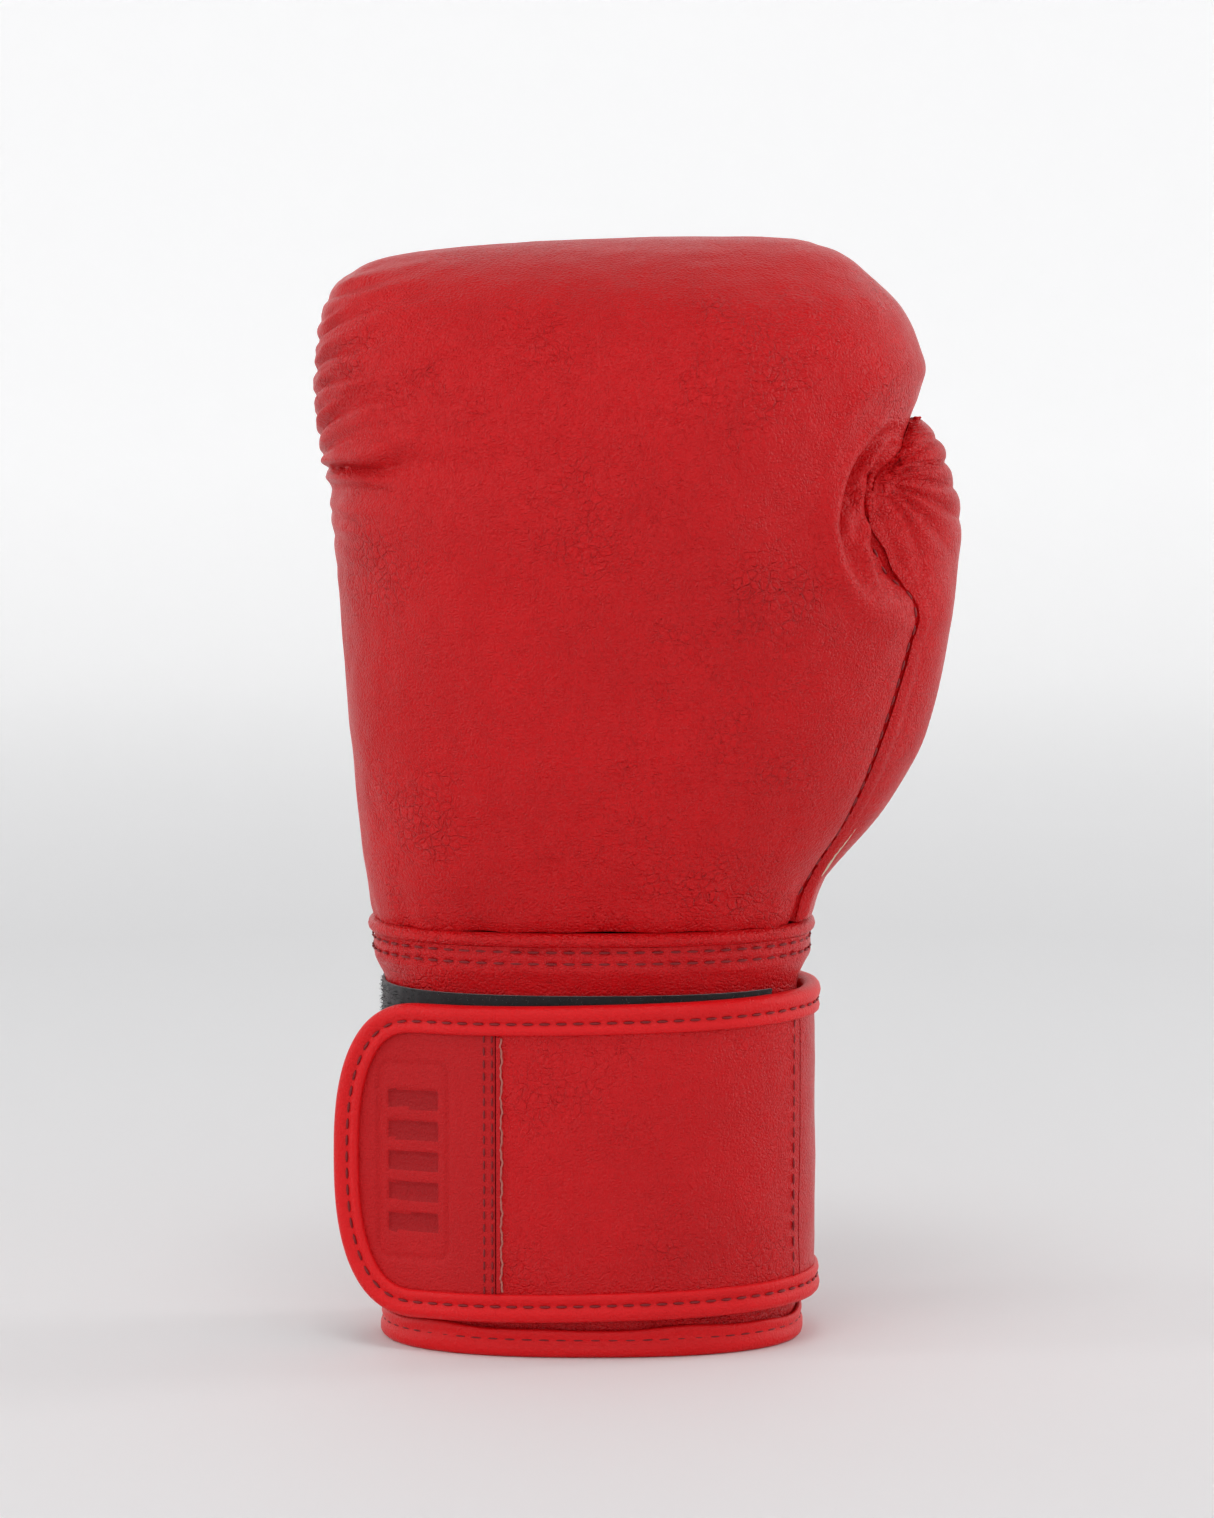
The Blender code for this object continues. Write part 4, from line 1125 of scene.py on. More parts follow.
STACK = 9.3
HEM_PROFILE = (
    # lift, height
    (-STACK - 1.5, 0.9), (-STACK - 0.9, 0.15), (-STACK + 0.6, 0.0), (-STACK / 2, 0.0), (0.2, 0.0),
    (1.0, 0.15), (1.7, 0.8), (2.0, 1.8), (2.0, 3.2), (1.6, 4.2), (1.3, 4.8), (1.5, 5.6), (1.75, 6.6),
    (1.6, 7.6), (1.1, 8.0), (0.4, 7.8), (0.3, 1.4), (-STACK - 0.3, 1.4), (-STACK - 0.3, 7.6),
    (-STACK - 1.1, 7.8), (-STACK - 1.5, 7.2),
)
swept_ring("bottom_binding", HEM_PROFILE, BINDING_LEATHER, "cuff_binding", gentle_wave)
print("welt and binding swept")

# %% Cuff leather, padding, lining and gusset
GUSSET = (78.75, 112.5)
WRIST_STITCHES = (110.3, 107.2)
WELT_PITCH = 4.7


CUFF_LOW, CUFF_HIGH = 1.6, 111.6
CUFF_COLUMNS = 300


def cuff_rows(wrinkled):
    """Heights of a sheet's rows, closer together where it has wrinkles."""
    if not wrinkled:
        return np.linspace(CUFF_LOW, CUFF_HIGH, 60)
    parts = ((CUFF_LOW, 16.0, 30), (17.0, 98.0, 40), (98.6, CUFF_HIGH, 44))
    return np.concatenate([np.linspace(*part) for part in parts])


def cuff_sheet(name, angles, lift, thickness, material, slot, node, wrinkle=0.0, fill=None):
    """A sheet of the cuff with light wrinkles near its hem and dips at its stitches."""
    closed = angles[1] - angles[0] == 360.0
    columns = CUFF_COLUMNS + 1 if closed else CUFF_COLUMNS - 20
    span = np.radians(np.linspace(angles[0], angles[1], columns))
    angle, height = np.meshgrid(span[:-1] if closed else span, cuff_rows(wrinkle > 0.0))
    slanted = cuff_line(angle, height, 0.0) @ np.array(((1.0, 0.0, 0.0), (0.0, 1.0, 0.0), (1.1, 0.0, 1.6)))
    creases = seeded_waves(slanted, 20.0, 21)
    near_hem = 1.6 * bell(height - 9.0, 8.0) + 0.4 + 0.8 * ramp(height, 100.0, 104.0)
    around = angle * 46.0
    for stitch_height in WRIST_STITCHES:
        row_gap = np.abs(height - stitch_height)
        tug = 0.6 + 0.4 * np.cos(2 * math.pi * around / WELT_PITCH + stitch_height)
        dip, lip = bell(row_gap, 0.9), bell(row_gap - 2.4, 1.1)
        creases = creases - 1.9 * dip * tug + 0.5 * lip
    offset = lift + wrinkle * creases * near_hem
    outer, inner = cuff_line(angle, height, offset), cuff_line(angle, height, offset - thickness)
    return attach(thick_panel(name, outer, inner, material, closed), "glove", node)


cuff_angles = (GUSSET[1], GUSSET[0] + 360.0)
gusset_angles = (GUSSET[0] + 0.6, GUSSET[1] - 0.6)
for sheet in (
    # name, angles, lift, thickness, leather or cloth, slot, plain node, wrinkles, filling
    ("cuff_skin", cuff_angles, 0.0, 1.2, CUFF_LEATHER, "cuff_leather", "cuff_leather", 0.22),
    ("cuff_pad", cuff_angles, -1.9, 5.6, FOAM, "foam", "cuff_padding", 0.0, 0.9),
    ("cuff_lining_cloth", (-180.0, 180.0), -8.3, 0.8, LINING_CLOTH, "lining_fabric", "cuff_lining", 0.1),
    ("gusset_elastic", gusset_angles, -2.0, 1.8, ELASTIC_WEB, "elastic", "elastic_gusset", 0.15),
):
    cuff_sheet(*sheet)
print("cuff built")

# %% [markdown]
# ## The strap
#
# The strap is leather on a woven backing, edged all round with a folded binding. It is drawn
# flat, with a run along it, a height and a lift, and then laid round the oval. Its line
# leaves the cuff at a tangent, so the rounded tab stands off a little at its tip.

# %% The strap's line
STRAP_LOW, STRAP_HIGH = 10.5, 96.0
STRAP_MIDDLE = (STRAP_LOW + STRAP_HIGH) / 2
STRAP_TIP_X, STRAP_STRAIGHT_X, STRAP_FOLD_X = -80.0, -50.0, -37.0
ROOT_ANGLE, CORNER_ANGLE = 58.0, -24.0


def strap_line():
    """The strap's path seen from above: its run length, its points and their outward directions."""
    angles = np.radians(np.arange(ROOT_ANGLE + 40.0, -175.0, -0.25))
    spots = cuff_line(angles, STRAP_MIDDLE, 0.0)[:, :2]
    past = np.where((angles < -math.pi / 2) & (spots[:, 0] < STRAP_STRAIGHT_X))[0][0]
    spots = spots[: past + 1]
    step = spots[-1] - spots[-2]
    step = step / np.linalg.norm(step)
    straight = spots[-1] + step * np.arange(0.5, 46.0, 0.5)[:, None]
    spots = np.concatenate((spots, straight))
    run = np.concatenate(([0.0], np.cumsum(np.linalg.norm(np.diff(spots, axis=0), axis=1))))
    along = np.gradient(spots, axis=0)
    along = along / np.linalg.norm(along, axis=1, keepdims=True)
    outward = np.stack((-along[:, 1], along[:, 0]), axis=1)
    if outward[0] @ (spots[0] - np.array((CUFF_CENTRE_X, 0.0))) < 0:
        outward = -outward
    return run, spots, outward


def front_run(x):
    """The run where the strap passes a place across the front of the cuff."""
    front = np.where(STRAP_SPOTS[:, 1] < 0, np.abs(STRAP_SPOTS[:, 0] - x), 1e9)
    return float(STRAP_RUN[np.argmin(front)])


def angle_run(degrees):
    """The run at an angle round the cuff."""
    spot = cuff_line(math.radians(degrees), STRAP_MIDDLE, 0.0)[:2]
    return float(STRAP_RUN[np.argmin(np.linalg.norm(STRAP_SPOTS - spot, axis=1))])


STRAP_RUN, STRAP_SPOTS, STRAP_OUTWARD = strap_line()
STRAP_MIDDLE_RUN = front_run(-18.0)
STRAP_TILT = 0.022


def askew(run):
    """How much higher the strap lies at a run, because it was pulled on a little askew."""
    return np.clip(STRAP_MIDDLE_RUN - run, -75.0, 60.0) * STRAP_TILT


def lay(run, height, lift):
    """Flat strap coordinates to the drawing."""
    run, height, lift = np.broadcast_arrays(*(np.asarray(v, float) for v in (run, height, lift)))
    x, y = (np.interp(run, STRAP_RUN, STRAP_SPOTS[:, axis]) for axis in (0, 1))
    out_x, out_y = (np.interp(run, STRAP_RUN, STRAP_OUTWARD[:, axis]) for axis in (0, 1))
    size = np.hypot(out_x, out_y)
    return np.stack((x + out_x / size * lift, y + out_y / size * lift, height + askew(run)), axis=-1)


ROOT, CORNER = angle_run(ROOT_ANGLE), angle_run(CORNER_ANGLE)
FOLD, TIP = front_run(STRAP_FOLD_X), front_run(STRAP_TIP_X)
TAB_ROUND, TAB_SQUARENESS = 26.0, 2.5
TAB_CENTRE = TIP - TAB_ROUND
HALF_STRAP = (STRAP_HIGH - STRAP_LOW) / 2
print("strap run", round(TIP - ROOT, 1), "mm from root to tip")

# %% Strap sheets
STRAP_COLUMNS, STRAP_ROWS = 110, 110


def strap_piece(name, runs, heights, outer_lift, inner_lift, material, body, slot, node=None):
    """A closed sheet between two lifts over a grid of runs and heights."""
    outer, inner = lay(runs, heights, outer_lift), lay(runs, heights, inner_lift)
    piece = thick_panel(name, outer[:, ::-1], inner[:, ::-1], material)
    return attach(piece, body, node)


def strap_sheet(
    name, start, end, lift, thickness, material, slot, body, node,
    inset=1.0, tab=False, shape=None, pillow=0.0,
):
    """A sheet of the strap between two runs, slightly crowned between its edges."""
    run, across = np.meshgrid(np.linspace(start, end, STRAP_COLUMNS), np.linspace(-1, 1, STRAP_ROWS))
    half = np.full(run.shape, HALF_STRAP - inset)
    if tab:
        part = np.clip((run - TAB_CENTRE) / (TAB_ROUND - inset), 0.0, 0.9999)
        half = half * (1 - part**TAB_SQUARENESS) ** (1 / TAB_SQUARENESS)
    height = STRAP_MIDDLE + half * across
    face_lift = lift + thickness + pillow * (1 - across**6) + (shape(run, height) if shape else 0.0)
    return strap_piece(name, run, height, face_lift, lift, material, body, slot, node)


def strap_wear(run, height):
    """Shallow waves where the strap is bent round the wrist."""
    spots = lay(run, height, 0.0)
    return 0.16 * seeded_waves(spots, 26.0, 31) + 0.05 * seeded_waves(spots, 9.0, 32)


RIBS = 5
RIB_PITCH = 8.4
RIB_DEPTH = 0.7
RIB_RUN = (FOLD + TIP) / 2 - 0.5


def rib_mask(run, height):
    """1 on the pressed grip ribs and 0 off them."""
    across = np.abs(run - RIB_RUN)
    place = (height - STRAP_MIDDLE) / RIB_PITCH
    near = np.abs(place - np.round(place)) * RIB_PITCH
    bars = (1 - ramp(near, 2.1, 2.7)) * (np.abs(np.round(place)) <= RIBS // 2)
    return bars * (1 - ramp(across, 7.2, 7.8))


def embossed_ribs(run, height):
    """A pressed frame with level grip ribs inside it, as a plain pull tab has."""
    across, up = np.abs(run - RIB_RUN), np.abs(height - STRAP_MIDDLE)
    corner = np.hypot(np.maximum(across - 7.5, 0.0), np.maximum(up - 23.5, 0.0)) - 3.0
    edge = np.where((across > 7.5) & (up > 23.5), corner, np.maximum(across - 10.5, up - 26.5))
    return -0.45 * bell(edge, 0.7) - 0.15 * (edge < 0) - RIB_DEPTH * rib_mask(run, height)


FOLD_ROOM_EACH = 0.2
strap_ends = {
    "strap_side": (ROOT + FOLD_ROOM_EACH, CORNER - FOLD_ROOM_EACH),
    "strap_back": (CORNER + FOLD_ROOM_EACH, FOLD - FOLD_ROOM_EACH),
}
for body, (start, end) in strap_ends.items():
    strap_sheet(
        f"{body}_skin", start, end, 3.6, 1.1, CUFF_LEATHER, "cuff_leather", body, f"{body}_leather",
        shape=strap_wear, pillow=0.5,
    )
tab_start = FOLD + FOLD_ROOM_EACH
tab = strap_sheet(
    "tab_skin", tab_start, TIP - 1.6, 3.6, 1.1, TAB_LEATHER, "tab_leather", "strap_tab", "tab_leather",
    inset=1.6, tab=True, shape=embossed_ribs, pillow=0.2,
)
# The sunk grip ribs get a darker leather: painted shade in their recesses.
RIB_SHADE_LEATHER = coated_leather("tab_rib_shade_leather", "A80B12", "980910", 0.5, 0.1, 1.2)
tab.data.materials.append(RIB_SHADE_LEATHER)
centres = (np.array([face.center[:] for face in tab.data.polygons]) - SHIFT) / MM
lifted = STRAP_SPOTS + STRAP_OUTWARD * 4.8
face_runs = STRAP_RUN[np.argmin(np.linalg.norm(centres[:, None, :2] - lifted[None], axis=2), axis=1)]
# Faces on the sunk ribs take the painted-shade leather.
pressed = (rib_mask(face_runs, centres[:, 2] - askew(face_runs)) > 0.3).astype(np.int32)
tab.data.polygons.foreach_set("material_index", pressed)
print("pressed faces", int(pressed.sum()))
for name, start, end, body, node, inset in (
    ("strap_side_web", *strap_ends["strap_side"], "strap_side", "strap_side_backing", 1.0),
    ("strap_back_web", *strap_ends["strap_back"], "strap_back", "strap_back_backing", 1.0),
    ("tab_web", tab_start, TIP - 1.8, "strap_tab", "tab_backing", 1.6),
):
    strap_sheet(
        name, start, end, 2.5, 0.8, BACKING_CLOTH, "strap_backing", body, node, inset, body == "strap_tab"
    )
for name, start, end, body, node in (
    ("hook_tape_back", CORNER + 7.7, FOLD - FOLD_ROOM_EACH, "strap_back", "strap_hook_tape"),
    ("hook_tape_tab", tab_start, TIP - 12.0, "strap_tab", "tab_hook_tape"),
):
    strap_sheet(name, start, end, 1.6, 0.6, HOOK_PLASTIC, "hook_tape", body, node, 10.7, body == "strap_tab")
print("strap sheets laid")

# %% [markdown]
# ## Folded binding
#
# The binding is a 22 mm strip folded over the strap's edge and sewn through about 4.5 mm in.
# The thread pulls it down, so it shows a round roll outside the stitches and a low lip
# inside them. That profile is swept along the edge, with its corners kept round.

# %% Binding profile and sweep
BINDING_PROFILE = (
    # inset from the edge, lift
    (7.7, 4.9), (7.75, 5.6), (7.3, 6.15), (6.4, 6.35), (5.5, 6.1), (4.9, 5.75), (4.5, 5.65), (4.1, 5.8),
    (3.3, 6.35), (2.2, 6.6), (1.1, 6.35), (0.35, 5.7), (0.0, 4.8), (-0.1, 3.9), (0.0, 3.0), (0.35, 2.2),
    (1.1, 1.7), (2.2, 1.55), (4.5, 1.7), (6.6, 1.6), (7.5, 1.7), (7.7, 2.2), (1.1, 2.25), (0.75, 2.7),
    (0.75, 4.6), (1.1, 4.9),
)


def swept_binding(name, edge, body, node):
    """The folded binding along an edge of (run, height, inward run, inward height)."""
    edge = np.array(edge, float)
    profile = np.array(BINDING_PROFILE)
    run = edge[:, None, 0] + edge[:, None, 2] * profile[None, :, 0]
    height = edge[:, None, 1] + edge[:, None, 3] * profile[None, :, 0]
    grid = lay(run, height, np.repeat(profile[None, :, 1], len(edge), axis=0))
    sides = len(profile)
    faces = tube_faces(len(edge), sides)
    last = (len(edge) - 1) * sides
    faces += [tuple(range(sides)), tuple(last + side for side in reversed(range(sides)))]
    piece = make_mesh(name, grid.reshape(-1, 3), faces, BINDING_LEATHER)
    shape = bmesh.new()
    shape.from_mesh(piece.data)
    bmesh.ops.triangulate(shape, faces=[face for face in shape.faces if len(face.verts) > 4])
    bmesh.ops.recalc_face_normals(shape, faces=shape.faces)
    shape.to_mesh(piece.data)
    shape.free()
    piece.data.shade_smooth()
    piece.data.set_sharp_from_angle(angle=math.radians(70))
    return attach(piece, body, node)


def straight_edge(start, end, height):
    """The top or bottom edge of the strap between two runs."""
    inward = 1.0 if height < STRAP_MIDDLE else -1.0
    return [(run, height, 0.0, inward) for run in np.linspace(start, end, 60)]


def tab_edge(start):
    """The tab's edge from the top, round the tip, and back along the bottom."""
    spots = [(run, HALF_STRAP) for run in np.linspace(start, TAB_CENTRE, 30)[:-1]]
    for turn in np.linspace(math.pi / 2, -math.pi / 2, 120):
        across = abs(math.cos(turn)) ** (2 / TAB_SQUARENESS)
        up = math.copysign(abs(math.sin(turn)) ** (2 / TAB_SQUARENESS), math.sin(turn))
        spots.append((TAB_CENTRE + TAB_ROUND * across, HALF_STRAP * up))
    spots += [(run, -HALF_STRAP) for run in np.linspace(TAB_CENTRE, start, 30)[1:]]
    spots = np.array(spots)
    along = np.gradient(spots, axis=0)
    along = along / np.linalg.norm(along, axis=1, keepdims=True)
    inward = np.stack((along[:, 1], -along[:, 0]), axis=1)
    return [(run, STRAP_MIDDLE + up, way[0], way[1]) for (run, up), way in zip(spots, inward)]


MEET = 0.01
side_run_ends, back_run_ends = (ROOT + FOLD_ROOM_EACH, CORNER - MEET), (CORNER + MEET, FOLD - MEET)
BINDINGS = (
    ("side_binding_top", straight_edge(*side_run_ends, STRAP_HIGH), "strap_side", "strap_side_binding_top"),
    ("side_binding_low", straight_edge(*side_run_ends, STRAP_LOW), "strap_side", "strap_side_binding_bottom"),
    ("back_binding_top", straight_edge(*back_run_ends, STRAP_HIGH), "strap_back", "strap_back_binding_top"),
    ("back_binding_low", straight_edge(*back_run_ends, STRAP_LOW), "strap_back", "strap_back_binding_bottom"),
    ("tab_edge_binding", tab_edge(FOLD + MEET), "strap_tab", "tab_binding"),
)
for name, edge, body, node in BINDINGS:
    swept_binding(name, edge, body, node)
print("bindings", len(BINDINGS))

# %% Root of the strap, raw edge and lock tab
def strap_root():
    """The sewn-down root on the palm side, folded in on itself."""
    runs = np.linspace(ROOT - 16.0, ROOT - 0.2, 40)
    heights = np.linspace(STRAP_LOW + 1.0, STRAP_HIGH - 1.0, 90)
    run, height = np.meshgrid(runs, heights)
    edge = np.minimum(np.minimum(run - runs[0], heights[-1] - height), height - heights[0])
    round_off = 1.2 * np.exp(-edge / 0.9)
    face_lift = 4.6 - round_off + 0.1 * seeded_waves(lay(run, height, 0.0), 18.0, 41)
    names = ("glove", "cuff_leather", "strap_anchor")
    return strap_piece("strap_root_patch", run, height, face_lift, 0.4, CUFF_LEATHER, *names)


strap_root()


def raw_edge_strip():
    """The cut edge of the tab's patch: a thin pale line of bare hide on the strap."""
    runs = np.linspace(FOLD - 1.75, FOLD - 1.35, 4)
    heights = np.linspace(STRAP_LOW + 8.4, STRAP_HIGH - 8.4, 120)
    run, height = np.meshgrid(runs, heights)
    run = run + 0.18 * np.sin(height * 0.9) + 0.12 * np.sin(height * 2.3)
    face_lift = 5.6 + 0.08 * np.sin(height * 3.1)
    return strap_piece("patch_raw_edge", run, height, face_lift, 4.9, RAW_EDGE, "strap_back", "tab_leather")


def patch_hem():
    """The patch's leather reaches over the fold line onto the strap, up to its raw edge."""
    runs = np.linspace(FOLD - 1.3, FOLD - 0.25, 8)
    heights = np.linspace(STRAP_LOW + 8.2, STRAP_HIGH - 8.2, 120)
    run, height = np.meshgrid(runs, heights)
    return strap_piece("patch_hem", run, height, 5.6, 4.9, TAB_LEATHER, "strap_back", "tab_leather")


raw_edge_strip()
patch_hem()


def lock_tab():
    """A short bar of stitched leather that pinches the thumb to the mitt."""
    heights = np.linspace(225.5, 237.5, 40)
    around = np.linspace(0, 2 * math.pi, 17)[:-1]
    height, turn = np.meshgrid(heights, around, indexing="ij")
    row = np.clip(np.searchsorted(bare[:, 0, 2], heights), 0, MITT_ROWS)
    spine = skin[row, right_column] + skin_normals[row, right_column] * 1.4
    taper = np.sqrt(np.clip(1 - ((heights - 231.5) / 6.2) ** 2, 0.02, 1.0))
    rib = 1 + 0.18 * np.sin(heights * 4.2)
    x = spine[:, None, 0] + (1.5 * taper * rib)[:, None] * np.cos(turn)
    y = spine[:, None, 1] + (1.7 * taper * rib)[:, None] * np.sin(turn)
    grid = np.stack((x, y, height), axis=-1)
    sides = len(around)
    faces = tube_faces(len(heights), sides, turned=True)
    last = (len(heights) - 1) * sides
    faces += [tuple(reversed(range(sides))), tuple(range(last, last + sides))]
    piece = make_mesh("thumb_lock_bar", grid.reshape(-1, 3), faces, MITT_LEATHER)
    piece.data.shade_smooth()
    return attach(piece, "glove", "thumb_lock_tab")


lock_tab()
print("root, raw edge and lock tab made")

# %% [markdown]
# ## Stitches
#
# A stitch is a short sunk length of thread, and there are hundreds, all alike. Geometry
# Nodes lay them: the line is walked at the stitch's pitch and a small bead of thread is set
# at each step, turned along the line. Pitch, length and thickness are named inputs.

# %% Stitch tree
def new_tree(name, *sockets):
    """A node tree with named inputs of given kinds, and its input node's outputs."""
    tree = bpy.data.node_groups.new(name, "GeometryNodeTree")
    for label, kind in (("Geometry", "Geometry"), *sockets, ("Finish", "Material")):
        tree.interface.new_socket(label, in_out="INPUT", socket_type=f"NodeSocket{kind}")
    tree.interface.new_socket("Geometry", in_out="OUTPUT", socket_type="NodeSocketGeometry")
    return tree, tree.nodes.new("NodeGroupInput").outputs


def set_shapes(tree, given, points, shape, rotation, scale, smooth=False):
    """Sets a shape at each point, makes the shapes real and gives them their finish."""
    ends = {"Points": points, "Instance": shape, "Rotation": rotation, "Scale": scale}
    placed = add_node(tree, "GeometryNodeInstanceOnPoints", ends).outputs["Instances"]
    made = add_node(tree, "GeometryNodeRealizeInstances", {"Geometry": placed}).outputs["Geometry"]
    if smooth:
        made = add_node(tree, "GeometryNodeSetShadeSmooth", {"Geometry": made}).outputs["Geometry"]
    ends = {"Geometry": made, "Material": given["Finish"]}
    painted = add_node(tree, "GeometryNodeSetMaterial", ends).outputs["Geometry"]
    tree.links.new(painted, tree.nodes.new("NodeGroupOutput").inputs["Geometry"])
    return tree


def stitch_tree():
    """A node tree that turns a line of edges into a row of stitches."""
    tree, given = new_tree("stitch_row", ("Pitch", "Float"), ("Stitch Length", "Float"), ("Thread", "Float"))
    line = add_node(tree, "GeometryNodeMeshToCurve", {"Mesh": given["Geometry"]}).outputs["Curve"]
    ends = {"Curve": line, "Length": given["Pitch"]}
    walked = add_node(tree, "GeometryNodeResampleCurve", ends, mode="LENGTH").outputs["Curve"]
    ends = {"Segments": 8, "Rings": 5, "Radius": 0.5}
    bead = add_node(tree, "GeometryNodeMeshUVSphere", ends).outputs["Mesh"]
    ends = {"X": given["Stitch Length"], "Y": given["Thread"], "Z": given["Thread"]}
    size = add_node(tree, "ShaderNodeCombineXYZ", ends).outputs[0]
    ends = {"Vector": add_node(tree, "GeometryNodeInputTangent").outputs[0]}
    turn = add_node(tree, "FunctionNodeAlignRotationToVector", ends, axis="X").outputs["Rotation"]
    return set_shapes(tree, given, walked, bead, turn, size, smooth=True)


STITCHES = stitch_tree()


def set_inputs(modifier, values):
    """Sets a Geometry Nodes modifier's inputs by each socket's identifier."""
    for item in modifier.node_group.interface.items_tree:
        if item.item_type == "SOCKET" and item.in_out == "INPUT" and item.name in values:
            modifier[item.identifier] = values[item.name]


def bake_nodes(piece, modifier):
    """Swaps a piece's mesh for what its nodes make, and drops the modifier."""
    bpy.context.view_layer.update()
    graph = bpy.context.evaluated_depsgraph_get()
    made = bpy.data.meshes.new_from_object(piece.evaluated_get(graph), depsgraph=graph)
    piece.modifiers.remove(modifier)
    piece.data = made
    return piece


def stitch_rows(name, lines, body, pitch=4.4, length=3.1, thread=0.75):
    """Rows of stitches along lines of points, as one piece."""
    points, edges = [], []
    for line in lines:
        start = len(points)
        points += to_frame(line).tolist()
        edges += [(start + i, start + i + 1) for i in range(len(line) - 1)]
    mesh = bpy.data.meshes.new(name)
    mesh.from_pydata(points, edges, [])
    piece = bpy.data.objects.new(name, mesh)
    bpy.context.scene.collection.objects.link(piece)
    modifier = piece.modifiers.new("stitches", "NODES")
    modifier.node_group = STITCHES
    sizes = {"Pitch": pitch * MM, "Stitch Length": length * MM, "Thread": thread * MM}
    set_inputs(modifier, {**sizes, "Finish": THREAD})
    bake_nodes(piece, modifier)
    print(name, len(piece.data.polygons), "faces")
    return attach(piece, body)


# %% Rows of stitches
STITCH_INSET, STITCH_LIFT = 4.5, 5.85


def ring_line(height, lift):
    """A line right round the wrist."""
    return cuff_line(np.radians(np.linspace(-180.0, 180.0, 400)), height, lift)


def edge_line(edge):
    """The stitch line inside an edge of the strap."""
    edge = np.array(edge, float)
    return lay(*(edge[:, :2] + edge[:, 2:] * STITCH_INSET).T, STITCH_LIFT)


welt_rows = [ring_line(height, 0.05) for height in WRIST_STITCHES]
stitch_rows("welt_stitches", welt_rows, "glove", WELT_PITCH, 3.2, 0.7)
stitch_rows("hem_stitches", [ring_line(4.9, 1.35)], "glove", 4.6, 3.0, 0.5)
for name, body in (
    ("side_strap_stitches", "strap_side"),
    ("back_strap_stitches", "strap_back"),
    ("tab_stitches", "strap_tab"),
):
    stitch_rows(name, [edge_line(edge) for _, edge, owner, _ in BINDINGS if owner == body], body)
upright = np.linspace(STRAP_LOW + 8.6, STRAP_HIGH - 8.6, 120)
for name, body, slot, runs, lift, pitch, length, thread in (
    ("patch_stitches", "strap_tab", "tab_leather", (FOLD + 0.9, FOLD + 3.0), 4.98, 3.4, 2.4, 0.6),
    ("corner_stitches", "strap_back", "cuff_leather", (CORNER + 2.6,), 5.2, 4.2, 3.0, 0.6),
    ("root_stitches", "glove", "binding_leather", (ROOT - 3.0, ROOT - 13.0), 4.75, 4.2, 3.0, 0.7),
):
    stitch_rows(name, [lay(run, upright, lift) for run in runs], body, pitch, length, thread)
seam_rows = [row for row in range(MITT_ROWS) if 124.0 < bare[row, 0, 2] < 219.0]
beside_seam = right_column - 3
thumb_line = skin[seam_rows, beside_seam] + skin_normals[seam_rows, beside_seam] * 0.12
stitch_rows("thumb_seam_stitches", [thumb_line], "glove", 4.8, 2.9, 0.8)

# %% [markdown]
# ## Loop tape
#
# Hook-and-loop tape has a soft side of tiny loops. Its edge looks furry against the red
# leather. Short curved hairs are scattered over the tape with a fixed seed, each one a thin
# three-sided spike, which is enough at this size.

# %% Loop tape base
LOOP_LOW, LOOP_HIGH = 11.0, 98.2
LOOP_LIFT, LOOP_BACK = 1.05, 0.35


def loop_grid(columns, rows, low, high):
    """Angles and heights over the tape."""
    angles = np.radians(np.linspace(-191.0, -34.0, columns))
    return np.meshgrid(angles, np.linspace(low, high, rows))


def loop_tape():
    """The tape's ground cloth on the back of the cuff."""
    angle, height = loop_grid(200, 90, LOOP_LOW, LOOP_HIGH)
    waves = seeded_waves(cuff_line(angle, height, 0.0), 5.0, 51)
    outer, inner = cuff_line(angle, height, LOOP_LIFT + 0.08 * waves), cuff_line(angle, height, LOOP_BACK)
    piece = thick_panel("loop_tape_ground", outer, inner, LOOP_PILE)
    return attach(piece, "glove", "loop_patch")


loop_tape()


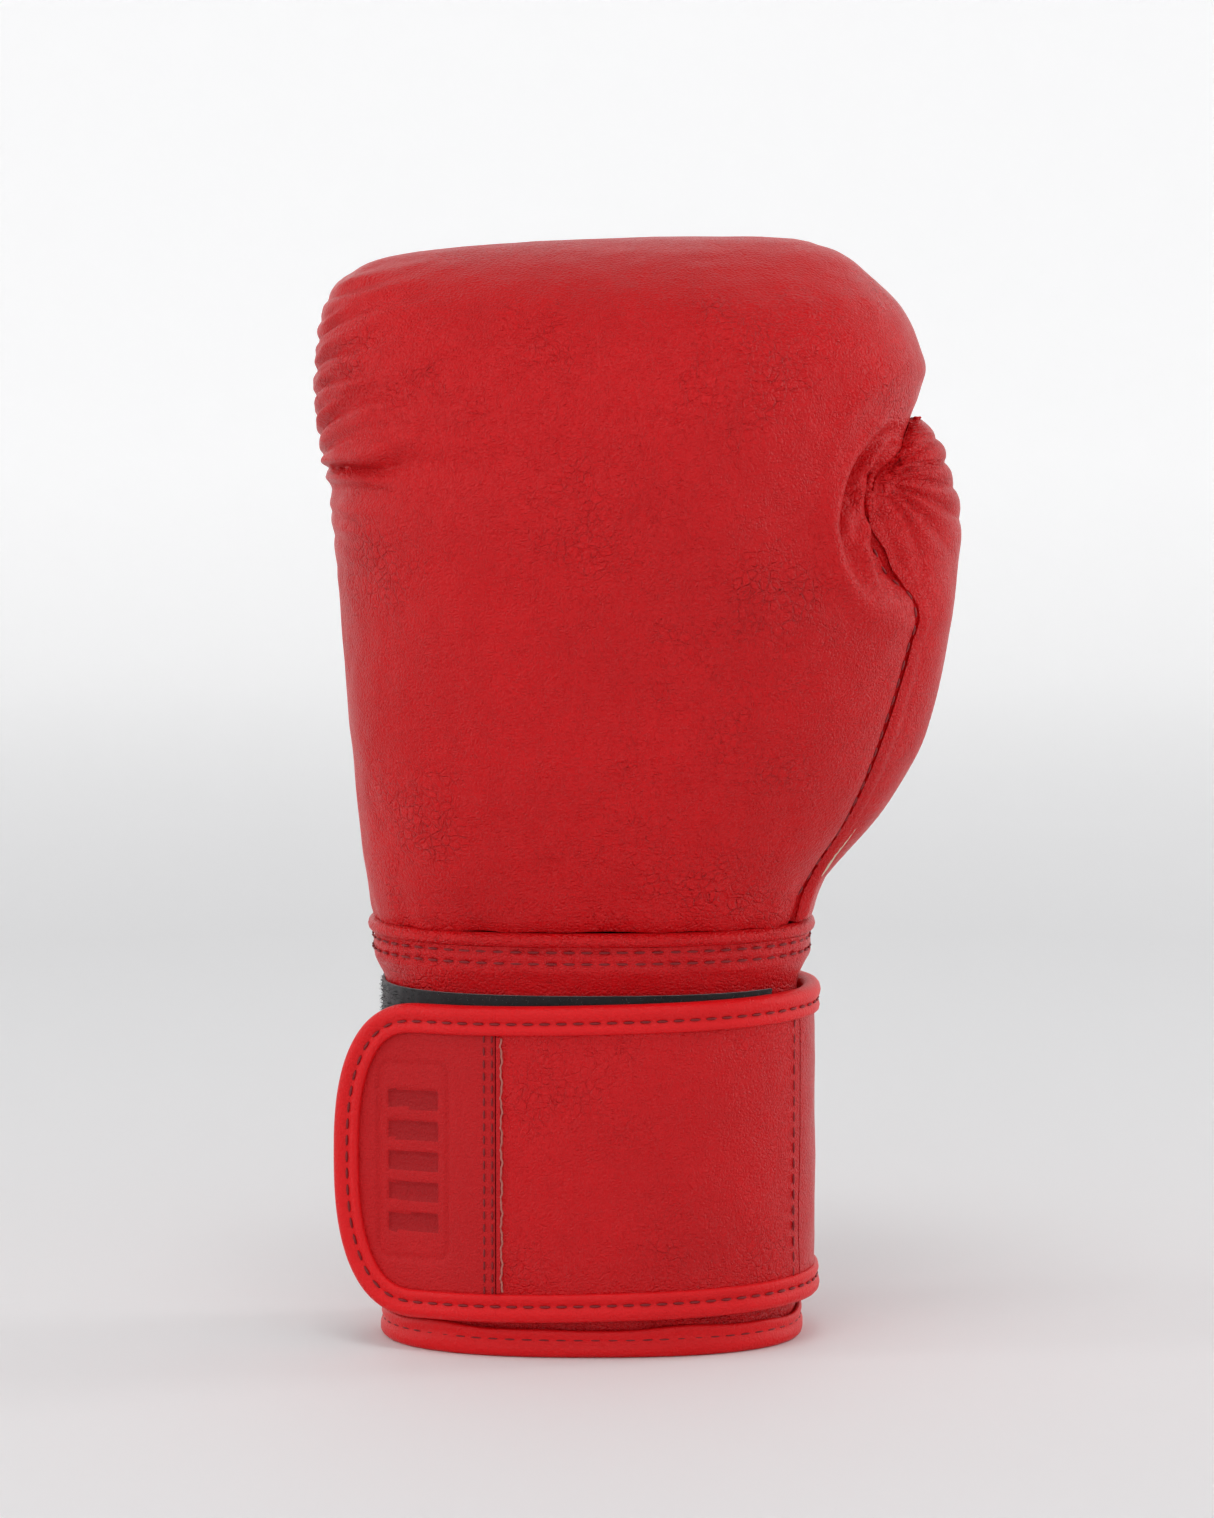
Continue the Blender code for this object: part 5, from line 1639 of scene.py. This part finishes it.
def pile_tree():
    """A node tree that scatters short hairs over a surface."""
    tree, given = new_tree(
        "loop_pile", ("Hairs per Square Metre", "Float"), ("Hair Length", "Float"), ("Hair Radius", "Float"),
        ("Seed", "Int"),
    )
    seed = {"Seed": given["Seed"]}
    ends = {"Mesh": given["Geometry"], "Density": given["Hairs per Square Metre"], **seed}
    spread = add_node(tree, "GeometryNodeDistributePointsOnFaces", ends).outputs
    ends = {"Vertices": 3, "Side Segments": 2, "Radius Top": 0.0}
    ends |= {"Radius Bottom": given["Hair Radius"], "Depth": given["Hair Length"]}
    hair = add_node(tree, "GeometryNodeMeshCone", ends, fill_type="NONE").outputs["Mesh"]
    ends = {0: (-0.9, -0.9, -3.1), 1: (0.9, 0.9, 3.1), **seed}
    lean = add_node(tree, "FunctionNodeRandomValue", ends, data_type="FLOAT_VECTOR").outputs[0]
    ends = {"Rotation": spread["Rotation"], "Rotate By": lean}
    turned = add_node(tree, "FunctionNodeRotateRotation", ends, rotation_space="LOCAL").outputs["Rotation"]
    ends = {2: 0.5, 3: 1.2, **seed}
    size = add_node(tree, "FunctionNodeRandomValue", ends, data_type="FLOAT").outputs[1]
    return set_shapes(tree, given, spread["Points"], hair, turned, size)


def loop_pile():
    """Hairs on the shown face of the tape."""
    grid = cuff_line(*loop_grid(100, 60, LOOP_LOW + 0.3, LOOP_HIGH - 0.1), LOOP_LIFT)
    rows, columns = grid.shape[:2]
    corners = [(r * columns + c, (r + 1) * columns + c) for r in range(rows - 1) for c in range(columns - 1)]
    faces = [(a, a + 1, b + 1, b) for a, b in corners]
    piece = make_mesh("loop_tape_pile", grid.reshape(-1, 3), faces, LOOP_PILE)
    modifier = piece.modifiers.new("pile", "NODES")
    modifier.node_group = pile_tree()
    sizes = {"Hairs per Square Metre": 9.0e5, "Hair Length": 1.3 * MM, "Hair Radius": 0.09 * MM}
    set_inputs(modifier, {**sizes, "Seed": 7, "Finish": LOOP_PILE})
    bake_nodes(piece, modifier)
    return attach(piece, "glove")


print("hairs", len(loop_pile().data.polygons) // 6)
